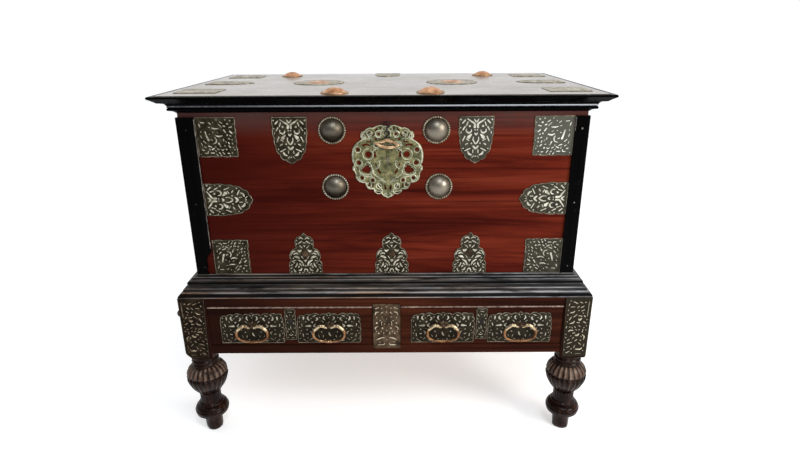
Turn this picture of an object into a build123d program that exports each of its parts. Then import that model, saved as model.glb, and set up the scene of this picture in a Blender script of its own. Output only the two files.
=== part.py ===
from build123d import *
import math
import os

# Brass-mounted dowry chest on a low stand with two drawers.
# Millimetres, +Z up, +X to the right, the front faces -Y.
# The origin lies on the floor, under the middle of the whole object.

os.makedirs("parts", exist_ok=True)

# ---------------------------------------------------------------- driving dimensions

# Lid
lid_width = 1260.0
body_depth = 790.0  # front lip of the lid to the back of the chest
lid_top_z = 1104.0
lid_board_thickness = 28.0
lid_lip_thickness = 10.0  # the board's edge is rebated to lie over the moulding
lid_lip_drop = 1.0  # top of the moulding's lip below the board's top
lid_board_inset = 16.0  # lip of the moulding to the edge of the board
lid_core_inset = 46.0  # lip of the moulding to the full thickness of the board
lid_moulding_drop = 22.0  # how far the moulding hangs below the board
lid_gap = 0.5  # lid board above the rim of the chest
lid_skirt_gap = 1.5  # moulding beside the chest boards

# Chest
chest_overhang = 56.0  # lip of the lid to the face of the chest boards
chest_base_z = 534.0
board_thickness = 22.0
chest_floor_thickness = 18.0
chest_floor_lift = 12.0
strip_thickness = 6.0
strip_width = 53.0
strip_right_width = 41.0  # front face of the right-hand strip
strip_top_drop = 13.0  # below the lid moulding's lower edge
base_moulding_height = 27.0
base_moulding_reach = 31.0

# Stand
stand_width = 1258.0
post_size = 80.0
post_base_z = 290.0
stand_moulding_height = 31.0
stand_moulding_width = 90.0
top_rail_height = 32.0
drawer_opening_height = 133.0
bottom_rail_height = 29.0
rail_thickness = 26.0
rail_recess = 2.0
stile_width = 84.0
stile_shift = 4.0
side_recess = 6.0
side_thickness = 22.0
back_thickness = 18.0
tenon_length = 30.0
tenon_thickness = 10.0
tenon_shoulder = 4.0
joint_clearance = 0.2

# Turned legs
foot_bottom_radius = 26.0
foot_top_radius = 30.0
foot_height = 60.0
ring_radius = 54.0
ring_height = 40.0
neck_radius = 33.0
neck_height = 44.0
bulb_radius = 65.0
bulb_groove_z = 216.0
bulb_top_z = 250.0
collar_radius = 42.0
collar_height = 26.0
worn_corner = 16.0

# Drawers
drawer_gap = 1.5
drawer_recess = 4.0
drawer_front_thickness = 22.0
drawer_side_thickness = 12.0
drawer_side_height = 118.0
drawer_box_depth = 640.0
drawer_bottom_thickness = 8.0
drawer_bottom_lift = 4.0
drawer_side_gap = 2.0
runner_gap = 0.3
runner_height = 20.0
runner_width = 30.0
guide_height = 20.0

# Brass mounts
plate_thickness = 2.0
corner_plate_size = 112.0
tongue_width = 98.0
tongue_length = 134.0
bell_width = 108.0
bell_length = 135.0
side_tongue_length = 142.0
top_tongue_x = 263.0
bottom_tongue_left_x = -246.0
bottom_tongue_mid_x = 20.0
bottom_tongue_right_x = 256.0
side_tongue_drop = 304.0  # this and the drops below are from the lid's top
boss_rim_radius = 39.5
boss_dome_radius = 31.0
boss_rim_thickness = 3.0
boss_height = 21.0
boss_upper_drop = 101.0
boss_lower_drop = 266.0
boss_pitch = 298.0
boss_mid_x = 5.0
escutcheon_x = 12.0
escutcheon_top_drop = 86.0
escutcheon_thickness = 2.5
keyhole_drop = 183.0
keyhole_radius = 5.5
keyhole_slot_width = 6.0
keyhole_slot_drop = 20.0
drawer_keyhole_radius = 4.2
drawer_keyhole_width = 5.4
drawer_keyhole_drop = 15.0
drawer_keyhole_lift = 12.0  # above the pivots of the drop handles
drawer_plate_length = 198.0
drawer_plate_height = 107.0
drawer_keyplate_width = 34.0
drawer_keyplate_height = 107.0
drawer_plate_gap = 3.0
drawer_keyplate_lift = 12.0
stile_mount_height = 155.0
stile_mount_drop = 21.0
post_mount_base_z = 296.0
stud_radius = 12.0
stud_height = 16.0
stud_inset = 14.0  # stand's front to the stud's middle
stud_z = 468.0
pin_radius = 3.5
pin_height = 1.2

# Lid mounts
lid_plate_length = 118.0
lid_plate_depth = 100.0
lid_plate_side_inset = 26.0
lid_plate_end_inset = 84.0
lid_tongue_length = 150.0
lid_rosette_radius = 85.0
lid_rosette_dome_radius = 40.0
lid_rosette_height = 7.0
lid_rosette_x = 222.0
lid_front_boss_x = 134.0
lid_front_boss_inset = 76.0
lid_back_boss_x = 365.0
lid_back_boss_inset = 110.0

# Drop handles
bail_half_width = 49.0
bail_drop = 54.0
bail_wire_radius = 3.5
bail_end_radius = 3.0
bail_ball_radius = 4.8
bail_ball_x = 5.4
bail_head_x = 16.5
bail_head_radius = 6.5
bail_head_length = 10.0
bail_standoff = 12.0
bail_knop_radius = 5.5
bail_pivot_drop = 60.0  # below the lower edge of the top rail
bore_clearance = 0.06
side_handle_drop = 304.0
side_handle_scale = 1.45
side_plate_length = 150.0
side_plate_height = 76.0

# Lock and hinges
lock_width = 110.0
lock_depth = 22.0
lock_height = 172.0
lock_top_drop = 24.0  # below the lid board
lock_wall = 2.5
bolt_length = 45.0
bolt_width = 8.0
bolt_height = 11.0
bolt_drop = 10.0  # below the top of the lock
staple_lug_thickness = 5.0
staple_lug_width = 14.0
staple_lug_drop = 48.0
staple_plate_thickness = 3.0
hinge_x = 400.0
hinge_width = 72.0
hinge_leaf_thickness = 3.0
hinge_leaf_drop = 76.0
hinge_knuckle_radius = 5.0
hinge_pin_radius = 2.5
hinge_knuckle_gap = 0.4
pull_pivot_drop = 120.0
pull_standoff = 9.0
pull_bar_radius = 1.8
pull_eye_radius = 4.2
pull_eye_width = 8.0
pull_half_width = 35.0
pull_thickness = 5.0
pull_neck_half = 2.5
pull_neck_drop = 20.0  # pivot to the top of the crescent
pull_ball_radius = 5.0
staple_leg_radius = 1.6
staple_leg_gap = 2.4
staple_bar_extra = 6.0
hook_shift = 3.0
hook_lift = 4.0
hook_reach = 12.0
hook_bend = 5.0

# ---------------------------------------------------------------- derived places

front_y = -body_depth / 2  # plane of the stand's front and of the lid's lip
back_y = body_depth / 2
mid_y = 0.0

stand_top_z = chest_base_z - stand_moulding_height
drawer_top_z = stand_top_z - top_rail_height
drawer_base_z = drawer_top_z - drawer_opening_height
rail_base_z = drawer_base_z - bottom_rail_height
half_stand = stand_width / 2
post_inner_x = half_stand - post_size
rail_front_y = front_y + rail_recess
rail_back_y = rail_front_y + rail_thickness
stile_left_x = stile_shift - stile_width / 2
stile_right_x = stile_shift + stile_width / 2
rail_mid_y = (rail_front_y + rail_back_y) / 2
side_outer_x = half_stand - side_recess
side_inner_x = side_outer_x - side_thickness
side_mid_x = side_outer_x - side_thickness / 2
panel_back_y = back_y - side_recess
panel_front_y = panel_back_y - back_thickness
panel_mid_y = panel_back_y - back_thickness / 2

half_lid = lid_width / 2
half_chest = half_lid - chest_overhang
face_y = front_y + chest_overhang
strip_outer_x = half_chest + strip_thickness
strip_inner_x = {-1: strip_width - strip_outer_x, 1: strip_outer_x - strip_right_width}
strip_base_z = chest_base_z + base_moulding_height
lid_board_z = lid_top_z - lid_board_thickness
chest_rim_z = lid_board_z - lid_gap
lid_board_half = half_lid - lid_board_inset
strip_top_z = lid_board_z - lid_moulding_drop - strip_top_drop
side_tongue_z = lid_top_z - side_tongue_drop
boss_upper_z = lid_top_z - boss_upper_drop
boss_lower_z = lid_top_z - boss_lower_drop
escutcheon_top_z = lid_top_z - escutcheon_top_drop
keyhole_z = lid_top_z - keyhole_drop
side_handle_z = lid_top_z - side_handle_drop
lock_top_z = lid_board_z - lock_top_drop
lock_base_z = lock_top_z - lock_height
bolt_z = lock_top_z - bolt_drop
pull_pivot_z = lid_top_z - pull_pivot_drop

drawer_front_y = front_y + drawer_recess
drawer_box_y = drawer_front_y + drawer_front_thickness
bail_pivot_z = drawer_top_z - bail_pivot_drop
drawer_key_z = bail_pivot_z + drawer_keyhole_lift
boss_left_x = boss_mid_x - boss_pitch / 2
boss_right_x = boss_mid_x + boss_pitch / 2
hinge_axis_y = back_y + hinge_knuckle_radius + 1
hinge_axis_z = lid_board_z


# ---------------------------------------------------------------- helpers

def save(piece, node):
    """Label a finished piece and write it as its own STEP file."""
    piece.label = node
    export_step(piece, f"parts/{node}.step")


def block(low, high, mode=Mode.ADD):
    """A box between two corners, inside the current part."""
    size = [high[i] - low[i] for i in range(3)]
    middle = [(high[i] + low[i]) / 2 for i in range(3)]
    with Locations(tuple(middle)):
        Box(*size, mode=mode)


def mirrored_x(piece):
    return mirror(piece, about=Plane.YZ, mode=Mode.PRIVATE)


def front_plane(x, z, y):
    """A drawing plane on a front face: its X runs to the right and its Y runs up."""
    return Plane(origin=(x, y, z), x_dir=(1, 0, 0), z_dir=(0, -1, 0))


# ---------------------------------------------------------------- turned legs

ring_base_z = foot_height
ring_top_z = ring_base_z + ring_height
neck_top_z = ring_top_z + neck_height
collar_top_z = bulb_top_z + collar_height

lower_bulb = [
    (neck_radius, neck_top_z),
    (bulb_radius - 17, neck_top_z + 22),
    (bulb_radius - 6, neck_top_z + 44),
    (bulb_radius, bulb_groove_z - 12),
    (bulb_radius - 1, bulb_groove_z - 2),
]
upper_bulb = [
    (bulb_radius - 2, bulb_groove_z + 2),
    (bulb_radius - 7, bulb_groove_z + 18),
    (collar_radius, bulb_top_z),
]


with BuildPart() as turned_leg:
    with BuildSketch(Plane.XZ):
        with BuildLine():
            Polyline((0, 0), (foot_bottom_radius, 0), (foot_top_radius, foot_height))
            Line((foot_top_radius, foot_height), (ring_radius - 16, ring_base_z))
            ThreePointArc(
                (ring_radius - 16, ring_base_z),
                (ring_radius, (ring_base_z + ring_top_z) / 2),
                (ring_radius - 16, ring_top_z),
            )
            Polyline((ring_radius - 16, ring_top_z), (neck_radius, ring_top_z), lower_bulb[0])
            Spline(*lower_bulb)
            Polyline(lower_bulb[-1], (bulb_radius - 5, bulb_groove_z), upper_bulb[0])
            Spline(*upper_bulb)
            Line(upper_bulb[-1], (collar_radius - 3, bulb_top_z))
            ThreePointArc(
                (collar_radius - 3, bulb_top_z),
                (collar_radius, bulb_top_z + collar_height / 2),
                (collar_radius - 3, collar_top_z),
            )
            Polyline(
                (collar_radius - 3, collar_top_z),
                (collar_radius - 5, collar_top_z + 2),
                (collar_radius - 5, post_base_z),
                (0, post_base_z),
                (0, 0),
            )
        make_face()
    revolve(axis=Axis.Z)


def rail_tenon_spans():
    """Heights of the tenons on the two front rails."""
    return [
        (drawer_top_z + tenon_shoulder, stand_top_z - tenon_shoulder),
        (rail_base_z + tenon_shoulder, drawer_base_z - tenon_shoulder),
    ]


panel_tenon = (rail_base_z + 3 * tenon_shoulder, stand_top_z - 3 * tenon_shoulder)


def make_leg(side, at_front):
    """One leg: a square post above, turned below."""
    axis_x = side * (half_stand - post_size / 2)
    axis_y = front_y + post_size / 2 if at_front else back_y - post_size / 2
    with BuildPart() as leg:
        with Locations((axis_x, axis_y, post_base_z)):
            Box(
                post_size,
                post_size,
                stand_top_z - post_base_z,
                align=(Align.CENTER, Align.CENTER, Align.MIN),
            )
        lower_edges = leg.edges().group_by(Axis.Z)[0]
        if side < 0 and at_front:
            chamfer(lower_edges.sort_by(Axis.X)[0], length=worn_corner)
        with Locations((axis_x, axis_y, 0)):
            add(turned_leg.part)
        # Mortises for the tenons of rails and panels.
        reach = tenon_length + joint_clearance
        half = tenon_thickness / 2 + joint_clearance
        low_x, high_x = sorted((side * post_inner_x, side * (post_inner_x + reach)))
        tenon_y = rail_mid_y if at_front else panel_mid_y
        spans = rail_tenon_spans() if at_front else [panel_tenon]
        for low_z, high_z in spans:
            block(
                (low_x, tenon_y - half, low_z - joint_clearance),
                (high_x, tenon_y + half, high_z + joint_clearance),
                mode=Mode.SUBTRACT,
            )
        if at_front:
            low_y, high_y = front_y + post_size - reach, front_y + post_size
        else:
            low_y, high_y = back_y - post_size, back_y - post_size + reach
        block(
            (side * side_mid_x - half, low_y, panel_tenon[0] - joint_clearance),
            (side * side_mid_x + half, high_y, panel_tenon[1] + joint_clearance),
            mode=Mode.SUBTRACT,
        )
    return leg.part


save(make_leg(-1, True), "leg_front_left")
save(make_leg(1, True), "leg_front_right")
save(make_leg(-1, False), "leg_back_left")
save(make_leg(1, False), "leg_back_right")

# ---------------------------------------------------------------- stand frame


def make_front_rail(low_z, high_z, tenon):
    with BuildPart() as rail:
        block((-post_inner_x, rail_front_y, low_z), (post_inner_x, rail_back_y, high_z))
        block(
            (-post_inner_x - tenon_length, rail_mid_y - tenon_thickness / 2, tenon[0]),
            (post_inner_x + tenon_length, rail_mid_y + tenon_thickness / 2, tenon[1]),
        )
    return rail.part


top_tenon, bottom_tenon = rail_tenon_spans()
save(make_front_rail(drawer_top_z, stand_top_z, top_tenon), "stand_top_rail")
save(make_front_rail(rail_base_z, drawer_base_z, bottom_tenon), "stand_bottom_rail")

with BuildPart() as drawer_divider:
    block(
        (stile_left_x, rail_front_y, drawer_base_z),
        (stile_right_x, rail_back_y, drawer_top_z),
    )
save(drawer_divider.part, "drawer_divider")


def make_stand_side():
    """The left side panel, tenoned into its two legs."""
    with BuildPart() as panel:
        block(
            (-side_outer_x, front_y + post_size, rail_base_z),
            (-side_inner_x, back_y - post_size, stand_top_z),
        )
        block(
            (-side_mid_x - tenon_thickness / 2, front_y + post_size - tenon_length, panel_tenon[0]),
            (-side_mid_x + tenon_thickness / 2, back_y - post_size + tenon_length, panel_tenon[1]),
        )
    return panel.part


stand_side = make_stand_side()
save(stand_side, "stand_side_left")
save(mirrored_x(stand_side), "stand_side_right")

with BuildPart() as stand_back:
    block(
        (-post_inner_x, panel_front_y, rail_base_z),
        (post_inner_x, panel_back_y, stand_top_z),
    )
    block(
        (-post_inner_x - tenon_length, panel_mid_y - tenon_thickness / 2, panel_tenon[0]),
        (post_inner_x + tenon_length, panel_mid_y + tenon_thickness / 2, panel_tenon[1]),
    )
save(stand_back.part, "stand_back_panel")

# Drawer runners: one along each side and one between the drawers.
runner_base_z = drawer_base_z - runner_height
guide_top_z = drawer_base_z + guide_height
with BuildPart() as drawer_runners:
    for side in (-1, 1):
        shelf = sorted((side * (post_inner_x - runner_width), side * side_inner_x))
        guide = sorted((side * post_inner_x, side * side_inner_x))
        runner_front_y = front_y + post_size
        runner_back_y = back_y - post_size
        block(
            (shelf[0], runner_front_y, runner_base_z),
            (shelf[1], runner_back_y, drawer_base_z),
        )
        block(
            (guide[0], runner_front_y, drawer_base_z),
            (guide[1], runner_back_y, guide_top_z),
        )
    block(
        (stile_left_x - runner_width, rail_back_y, runner_base_z),
        (stile_right_x + runner_width, panel_front_y, drawer_base_z),
    )
    block(
        (stile_left_x, rail_back_y, drawer_base_z),
        (stile_right_x, panel_front_y, guide_top_z),
    )
save(drawer_runners.part, "drawer_runners")

# ---------------------------------------------------------------- mitred mouldings


def mitre_plane(side, half_width):
    """The upright plane of a front corner's mitre; its normal points away from the front run."""
    return Plane(origin=(side * half_width, front_y, 0), z_dir=(side, 1, 0))


def front_run(profile, half_width):
    """Sweep a profile, drawn as (inwards from the lip, height), along the front."""
    with BuildPart() as run:
        with BuildSketch(Plane.YZ):
            with BuildLine():
                profile(front_y)
            make_face()
        extrude(amount=half_width, both=True)
        split(bisect_by=mitre_plane(-1, half_width), keep=Keep.BOTTOM)
        split(bisect_by=mitre_plane(1, half_width), keep=Keep.BOTTOM)
    return run.part


def side_run(profile, half_width):
    """Sweep the same profile along the left side, from the mitre to the back."""
    with BuildPart() as run:
        with BuildSketch(Plane.XZ.offset(-back_y)):
            with BuildLine():
                profile(-half_width)
            make_face()
        extrude(amount=body_depth)
        split(bisect_by=mitre_plane(-1, half_width), keep=Keep.TOP)
    return run.part


def lid_profile(start):
    """Crown moulding of the lid: lip, ovolo, fillet, cove, bead and ogee, rebated for the board."""
    def at(inwards, drop):
        return (start + inwards, lid_top_z - drop)

    inner = chest_overhang - lid_skirt_gap
    drop = lid_board_thickness + lid_moulding_drop
    rebate = lid_board_inset
    Polyline(at(rebate, lid_lip_drop), at(2, lid_lip_drop), at(0, lid_lip_drop + 2), at(0, 7))
    ThreePointArc(at(0, 7), at(8, 12), at(19, 20))
    Line(at(19, 20), at(30, 22))
    ThreePointArc(at(30, 22), at(36, 26.5), at(37.5, 34))
    Line(at(37.5, 34), at(40, 35))
    ThreePointArc(at(40, 35), at(36.5, 39), at(40, 43))
    Line(at(40, 43), at(45, 44))
    ThreePointArc(at(45, 44), at(50, 46), at(inner, drop))
    Polyline(
        at(inner, drop),
        at(inner, lid_board_thickness),
        at(lid_core_inset, lid_board_thickness),
        at(lid_core_inset, lid_lip_thickness),
        at(rebate, lid_lip_thickness),
        at(rebate, lid_lip_drop),
    )


def base_profile(start):
    """Black moulding round the foot of the chest: a large bead, a small bead and a fillet."""
    def at(outwards, height):
        return (start + chest_overhang - outwards, chest_base_z + height)

    reach = base_moulding_reach
    height = base_moulding_height
    Polyline(at(0, 0), at(reach - 3, 0), at(reach - 3, 3))
    ThreePointArc(at(reach - 3, 3), at(reach, 9), at(reach - 6, 14))
    Line(at(reach - 6, 14), at(reach - 11, 14))
    ThreePointArc(at(reach - 11, 14), at(reach - 14, 20), at(reach - 20, 22))
    Polyline(at(reach - 20, 22), at(6, 22), at(6, height), at(0, height), at(0, 0))


def stand_profile(start):
    """Moulding on top of the stand: a torus above, fillets and a reeded edge below."""
    def at(inwards, height):
        return (start + inwards, stand_top_z + height)

    height = stand_moulding_height
    Polyline(at(stand_moulding_width, 0), at(0, 0), at(0, 4))
    ThreePointArc(at(0, 4), at(0.4, 7.5), at(3, 9))
    Line(at(3, 9), at(6, 10))
    ThreePointArc(at(6, 10), at(7, 13.5), at(11, 15))
    Line(at(11, 15), at(14, 15))
    ThreePointArc(at(14, 15), at(15, 25), at(24, height - 2))
    Polyline(
        at(24, height - 2),
        at(28, height - 2),
        at(28, height),
        at(stand_moulding_width, height),
        at(stand_moulding_width, 0),
    )


with BuildPart() as stand_cleat:
    inner_half = half_stand - stand_moulding_width
    block(
        (-inner_half, back_y - stand_moulding_width, stand_top_z),
        (inner_half, back_y, chest_base_z),
    )

stand_front = front_run(stand_profile, half_stand)
stand_left = side_run(stand_profile, half_stand)
save(
    Compound(children=[stand_front, stand_left, mirrored_x(stand_left), stand_cleat.part]),
    "stand_moulding",
)

base_front = front_run(base_profile, half_lid)
base_left = side_run(base_profile, half_lid)
save(Compound(children=[base_front, base_left, mirrored_x(base_left)]), "base_moulding")

# ---------------------------------------------------------------- chest


def keyhole_outline(radius, slot_width, slot_drop):
    """A round hole with a slot below it, in the current sketch."""
    Circle(radius)
    with Locations((0, -slot_drop / 2)):
        Rectangle(slot_width, slot_drop)


with BuildPart() as chest_front:
    block((-half_chest, face_y, chest_base_z), (half_chest, face_y + board_thickness, chest_rim_z))
    with BuildSketch(front_plane(escutcheon_x, keyhole_z, face_y)):
        keyhole_outline(keyhole_radius, keyhole_slot_width, keyhole_slot_drop)
    extrude(amount=-board_thickness, mode=Mode.SUBTRACT)
save(chest_front.part, "chest_front")

with BuildPart() as chest_back:
    block(
        (-half_chest, back_y - board_thickness, chest_base_z),
        (half_chest, back_y, chest_rim_z),
    )
save(chest_back.part, "chest_back")

chest_inner_x = half_chest - board_thickness
chest_inner_front_y = face_y + board_thickness
chest_inner_back_y = back_y - board_thickness
with BuildPart() as chest_side:
    block(
        (-half_chest, chest_inner_front_y, chest_base_z),
        (-chest_inner_x, chest_inner_back_y, chest_rim_z),
    )
save(chest_side.part, "chest_side_left")
save(mirrored_x(chest_side.part), "chest_side_right")

chest_floor_z = chest_base_z + chest_floor_lift
with BuildPart() as chest_bottom:
    block(
        (-chest_inner_x, chest_inner_front_y, chest_floor_z),
        (chest_inner_x, chest_inner_back_y, chest_floor_z + chest_floor_thickness),
    )
save(chest_bottom.part, "chest_bottom")


# Piece broken out of the left strip: (outwards from its inner edge, up from its foot).
strip_chip = [(0, 0), (0, 82), (5, 71), (14, 59), (19, 44), (17, 24), (22, 14), (17, 0)]


def make_front_strip(side):
    """Ebony strip that wraps one of the chest's front corners."""
    with BuildPart() as strip:
        low_x, high_x = sorted((side * strip_outer_x, strip_inner_x[side]))
        block((low_x, face_y - strip_thickness, strip_base_z), (high_x, face_y, strip_top_z))
        low_x, high_x = sorted((side * strip_outer_x, side * half_chest))
        block(
            (low_x, face_y, strip_base_z),
            (high_x, face_y + strip_width - strip_thickness, strip_top_z),
        )
        outer = strip.edges().filter_by(Axis.Z).sort_by(lambda e: e.center().Y - side * e.center().X)[0]
        fillet(outer, radius=2)
        if side < 0:
            with BuildSketch(front_plane(strip_inner_x[side], strip_base_z, face_y)):
                Polygon(*[(-across, up) for across, up in strip_chip], align=None)
            extrude(amount=strip_thickness, mode=Mode.SUBTRACT)
    return strip.part


front_strips = [make_front_strip(side) for side in (-1, 1)]
save(Compound(children=front_strips), "corner_strips_front")

with BuildPart() as corner_strips_back:
    for side in (-1, 1):
        low_x, high_x = sorted((side * half_chest, side * strip_outer_x))
        block((low_x, back_y - strip_width, strip_base_z), (high_x, back_y, strip_top_z))
save(corner_strips_back.part, "corner_strips_back")

strip_face_y = face_y - strip_thickness
pin_heights = [strip_base_z + 24, (strip_base_z + strip_top_z) / 2 - 30, strip_top_z - 52]
with BuildPart() as strip_pins:
    for side in (-1, 1):
        strip_mid_x = (strip_inner_x[side] + side * strip_outer_x) / 2
        for pin_z in pin_heights:
            with BuildSketch(front_plane(strip_mid_x, pin_z, strip_face_y)):
                Circle(pin_radius)
    extrude(amount=pin_height)
save(strip_pins.part, "strip_pins")

# ---------------------------------------------------------------- brass mounts


def scalloped_corner(size_x, size_y):
    """Draw a plate with two straight outer edges and two lobed inner edges, corner at the origin."""
    dip = 0.04 * size_x
    Polyline((0, size_y), (0, 0), (size_x, 0))
    ThreePointArc((size_x, 0), (size_x + dip / 2, size_y * 0.25), (size_x - dip / 2, size_y * 0.5))
    ThreePointArc(
        (size_x - dip / 2, size_y * 0.5),
        (size_x + dip / 2, size_y * 0.75),
        (size_x - dip, size_y),
    )
    ThreePointArc(
        (size_x - dip, size_y),
        (size_x * 0.72, size_y + dip / 2),
        (size_x * 0.48, size_y - dip / 2),
    )
    ThreePointArc((size_x * 0.48, size_y - dip / 2), (size_x * 0.24, size_y + dip / 2), (0, size_y))


def tongue_outline(width, length):
    """Draw a shield: straight base at the origin, ogee sides and a tip at +Y."""
    half = width / 2
    Line((-half, 0), (half, 0))
    for side in (-1, 1):
        corner = (side * half, 0)
        hip = (side * half, length * 0.16)
        waist = (side * half * 0.95, length * 0.49)
        shoulder = (side * half * 0.4, length * 0.9)
        Line(corner, hip)
        ThreePointArc(hip, (side * half * 1.03, length * 0.3), waist)
        ThreePointArc(waist, (side * half * 0.74, length * 0.7), shoulder)
        Line(shoulder, (0, length))


def bell_outline(width, length):
    """Draw a stepped bell: straight base at the origin, lobed shoulders and a tip at +Y."""
    half = width / 2
    arcs = [
        ((1, 0.27), (0.97, 0.36), (0.91, 0.42)),
        ((0.91, 0.42), (0.92, 0.52), (0.87, 0.6)),
        ((0.87, 0.6), (0.79, 0.69), (0.54, 0.74)),
        ((0.54, 0.74), (0.59, 0.81), (0.55, 0.89)),
        ((0.55, 0.89), (0.38, 0.94), (0.15, 0.95)),
    ]
    Line((-half, 0), (half, 0))
    for side in (-1, 1):
        Line((side * half, 0), (side * half, arcs[0][0][1] * length))
        for arc in arcs:
            ThreePointArc(*[(side * half * across, length * up) for across, up in arc])
        shoulder = arcs[-1][-1]
        Line((side * half * shoulder[0], length * shoulder[1]), (0, length))


def cap_middle(radius, rise, top):
    """The middle point of a spherical cap's section, between its rim and its pole."""
    sphere = (radius**2 + rise**2) / (2 * rise)
    half_angle = math.atan2(radius, sphere - rise) / 2
    return (sphere * math.sin(half_angle), top - sphere * (1 - math.cos(half_angle)))


def domed_disc(plane, rim_radius, rim_thickness, dome_radius, height):
    """A dome on a flat rim, standing out of the plane."""
    crown = cap_middle(dome_radius, height - rim_thickness, height)
    with BuildPart() as dome:
        with BuildSketch(Plane.XZ):
            with BuildLine():
                Polyline(
                    (0, height),
                    (0, 0),
                    (rim_radius, 0),
                    (rim_radius, rim_thickness),
                    (dome_radius, rim_thickness),
                )
                ThreePointArc((dome_radius, rim_thickness), crown, (0, height))
            make_face()
        revolve(axis=Axis.Z)
    return plane.location * dome.part


def boss(plane):
    return domed_disc(plane, boss_rim_radius, boss_rim_thickness, boss_dome_radius, boss_height)


with BuildPart() as front_corner_plates:
    for side in (-1, 1):
        for corner_z, up in ((strip_base_z, 1), (strip_top_z, -1)):
            corner = Plane(
                origin=(strip_inner_x[side], face_y, corner_z),
                x_dir=(-side, 0, 0),
                z_dir=(0, side * up, 0),
            )
            with BuildSketch(corner):
                with BuildLine():
                    scalloped_corner(corner_plate_size, corner_plate_size)
                make_face()
            extrude(amount=-side * up * plate_thickness)
save(front_corner_plates.part, "front_corner_plates")


def make_tongues(places, outline, width, length):
    """Plates on the chest's front; each place is the base's (x, z) and the tip's direction."""
    with BuildPart() as tongues:
        for base_x, base_z, tip in places:
            across = (tip[1], 0, -tip[0])
            plane = Plane(origin=(base_x, face_y, base_z), x_dir=across, z_dir=(0, -1, 0))
            with BuildSketch(plane):
                with BuildLine():
                    outline(width, length)
                make_face()
        extrude(amount=plate_thickness)
    return tongues.part


save(
    make_tongues(
        [(side * top_tongue_x, strip_top_z, (0, -1)) for side in (-1, 1)],
        tongue_outline,
        tongue_width,
        tongue_length,
    ),
    "front_top_tongues",
)
save(
    make_tongues(
        [(strip_inner_x[side], side_tongue_z, (-side, 0)) for side in (-1, 1)],
        tongue_outline,
        tongue_width,
        side_tongue_length,
    ),
    "front_side_tongues",
)
bottom_places = [bottom_tongue_left_x, bottom_tongue_mid_x, bottom_tongue_right_x]
save(
    make_tongues(
        [(x, strip_base_z, (0, 1)) for x in bottom_places],
        bell_outline,
        bell_width,
        bell_length,
    ),
    "front_bottom_tongues",
)

front_bosses = [
    boss(front_plane(x, z, face_y))
    for x in (boss_left_x, boss_right_x)
    for z in (boss_lower_z, boss_upper_z)
]
save(Compound(children=front_bosses), "front_bosses")

# Escutcheon: right half of the outline, (across, down from the top).
escutcheon_half = [
    (0, 4),
    (24, 0),
    (46, 8),
    (66, 16),
    (76, 28),
    (74, 42),
    (92, 54),
    (102, 84),
    (103, 106),
    (97, 132),
    (90, 156),
    (70, 166),
    (58, 186),
    (36, 200),
    (20, 210),
    (0, 228),
]
with BuildPart() as escutcheon:
    with BuildSketch(front_plane(escutcheon_x, escutcheon_top_z, face_y)):
        with BuildLine():
            for side in (-1, 1):
                outline = [(side * across, -down) for across, down in escutcheon_half]
                Spline(*outline[:6])
                Spline(*outline[5:11])
                Polyline(*outline[10:])
        make_face()
        with Locations((0, keyhole_z - escutcheon_top_z)):
            Circle(keyhole_radius, mode=Mode.SUBTRACT)
        with Locations((0, keyhole_z - escutcheon_top_z - keyhole_slot_drop / 2)):
            Rectangle(keyhole_slot_width, keyhole_slot_drop, mode=Mode.SUBTRACT)
    extrude(amount=escutcheon_thickness)
save(escutcheon.part, "escutcheon")


def make_post_mount():
    """Brass plate that wraps the front left post of the stand."""
    with BuildPart() as mount:
        block(
            (-half_stand - plate_thickness, front_y - plate_thickness, post_mount_base_z),
            (-post_inner_x, front_y, stand_top_z),
        )
        block(
            (-half_stand - plate_thickness, front_y, post_mount_base_z),
            (-half_stand, front_y + post_size, stand_top_z),
        )
    return mount.part


post_mount = make_post_mount()
with BuildPart() as worn_post_mount:
    add(post_mount)
    cut_size = worn_corner - (post_mount_base_z - post_base_z) + plate_thickness
    with BuildSketch(Plane.XZ.offset(-back_y)):
        with Locations((-half_stand - plate_thickness, post_mount_base_z)):
            Polygon((0, 0), (cut_size, 0), (0, cut_size), align=None)
    extrude(amount=2 * body_depth, mode=Mode.SUBTRACT)

# A domed stud on the left side of the left mount.
stud_base_x = -half_stand - plate_thickness
stud_belly = cap_middle(stud_radius, stud_height, stud_height)
stud_plane = Plane(
    origin=(stud_base_x, front_y + stud_inset, stud_z),
    x_dir=(0, 1, 0),
    z_dir=(-1, 0, 0),
)
with BuildPart() as stud:
    with BuildSketch(Plane.XZ):
        with BuildLine():
            Polyline((0, stud_height), (0, 0), (stud_radius, 0))
            ThreePointArc((stud_radius, 0), stud_belly, (0, stud_height))
        make_face()
    revolve(axis=Axis.Z)
save(
    Compound(
        children=[
            worn_post_mount.part,
            mirrored_x(post_mount),
            stud_plane.location * stud.part,
        ]
    ),
    "stand_corner_mounts",
)

with BuildPart() as stand_centre_mount:
    stile_mount_top_z = stand_top_z - stile_mount_drop
    block(
        (stile_left_x, rail_front_y - plate_thickness, stile_mount_top_z - stile_mount_height),
        (stile_right_x, rail_front_y, stile_mount_top_z),
    )
save(stand_centre_mount.part, "stand_centre_mount")

# ---------------------------------------------------------------- lid

lid_core_half = half_lid - lid_core_inset
with BuildPart() as lid_panel:
    block(
        (-lid_core_half, front_y + lid_core_inset, lid_board_z),
        (lid_core_half, back_y, lid_top_z),
    )
    block(
        (-lid_board_half, front_y + lid_board_inset, lid_top_z - lid_lip_thickness),
        (lid_board_half, back_y, lid_top_z),
    )
save(lid_panel.part, "lid_panel")

save(front_run(lid_profile, half_lid), "lid_moulding_front")
lid_left = side_run(lid_profile, half_lid)
save(Compound(children=[lid_left, mirrored_x(lid_left)]), "lid_moulding_sides")

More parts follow.
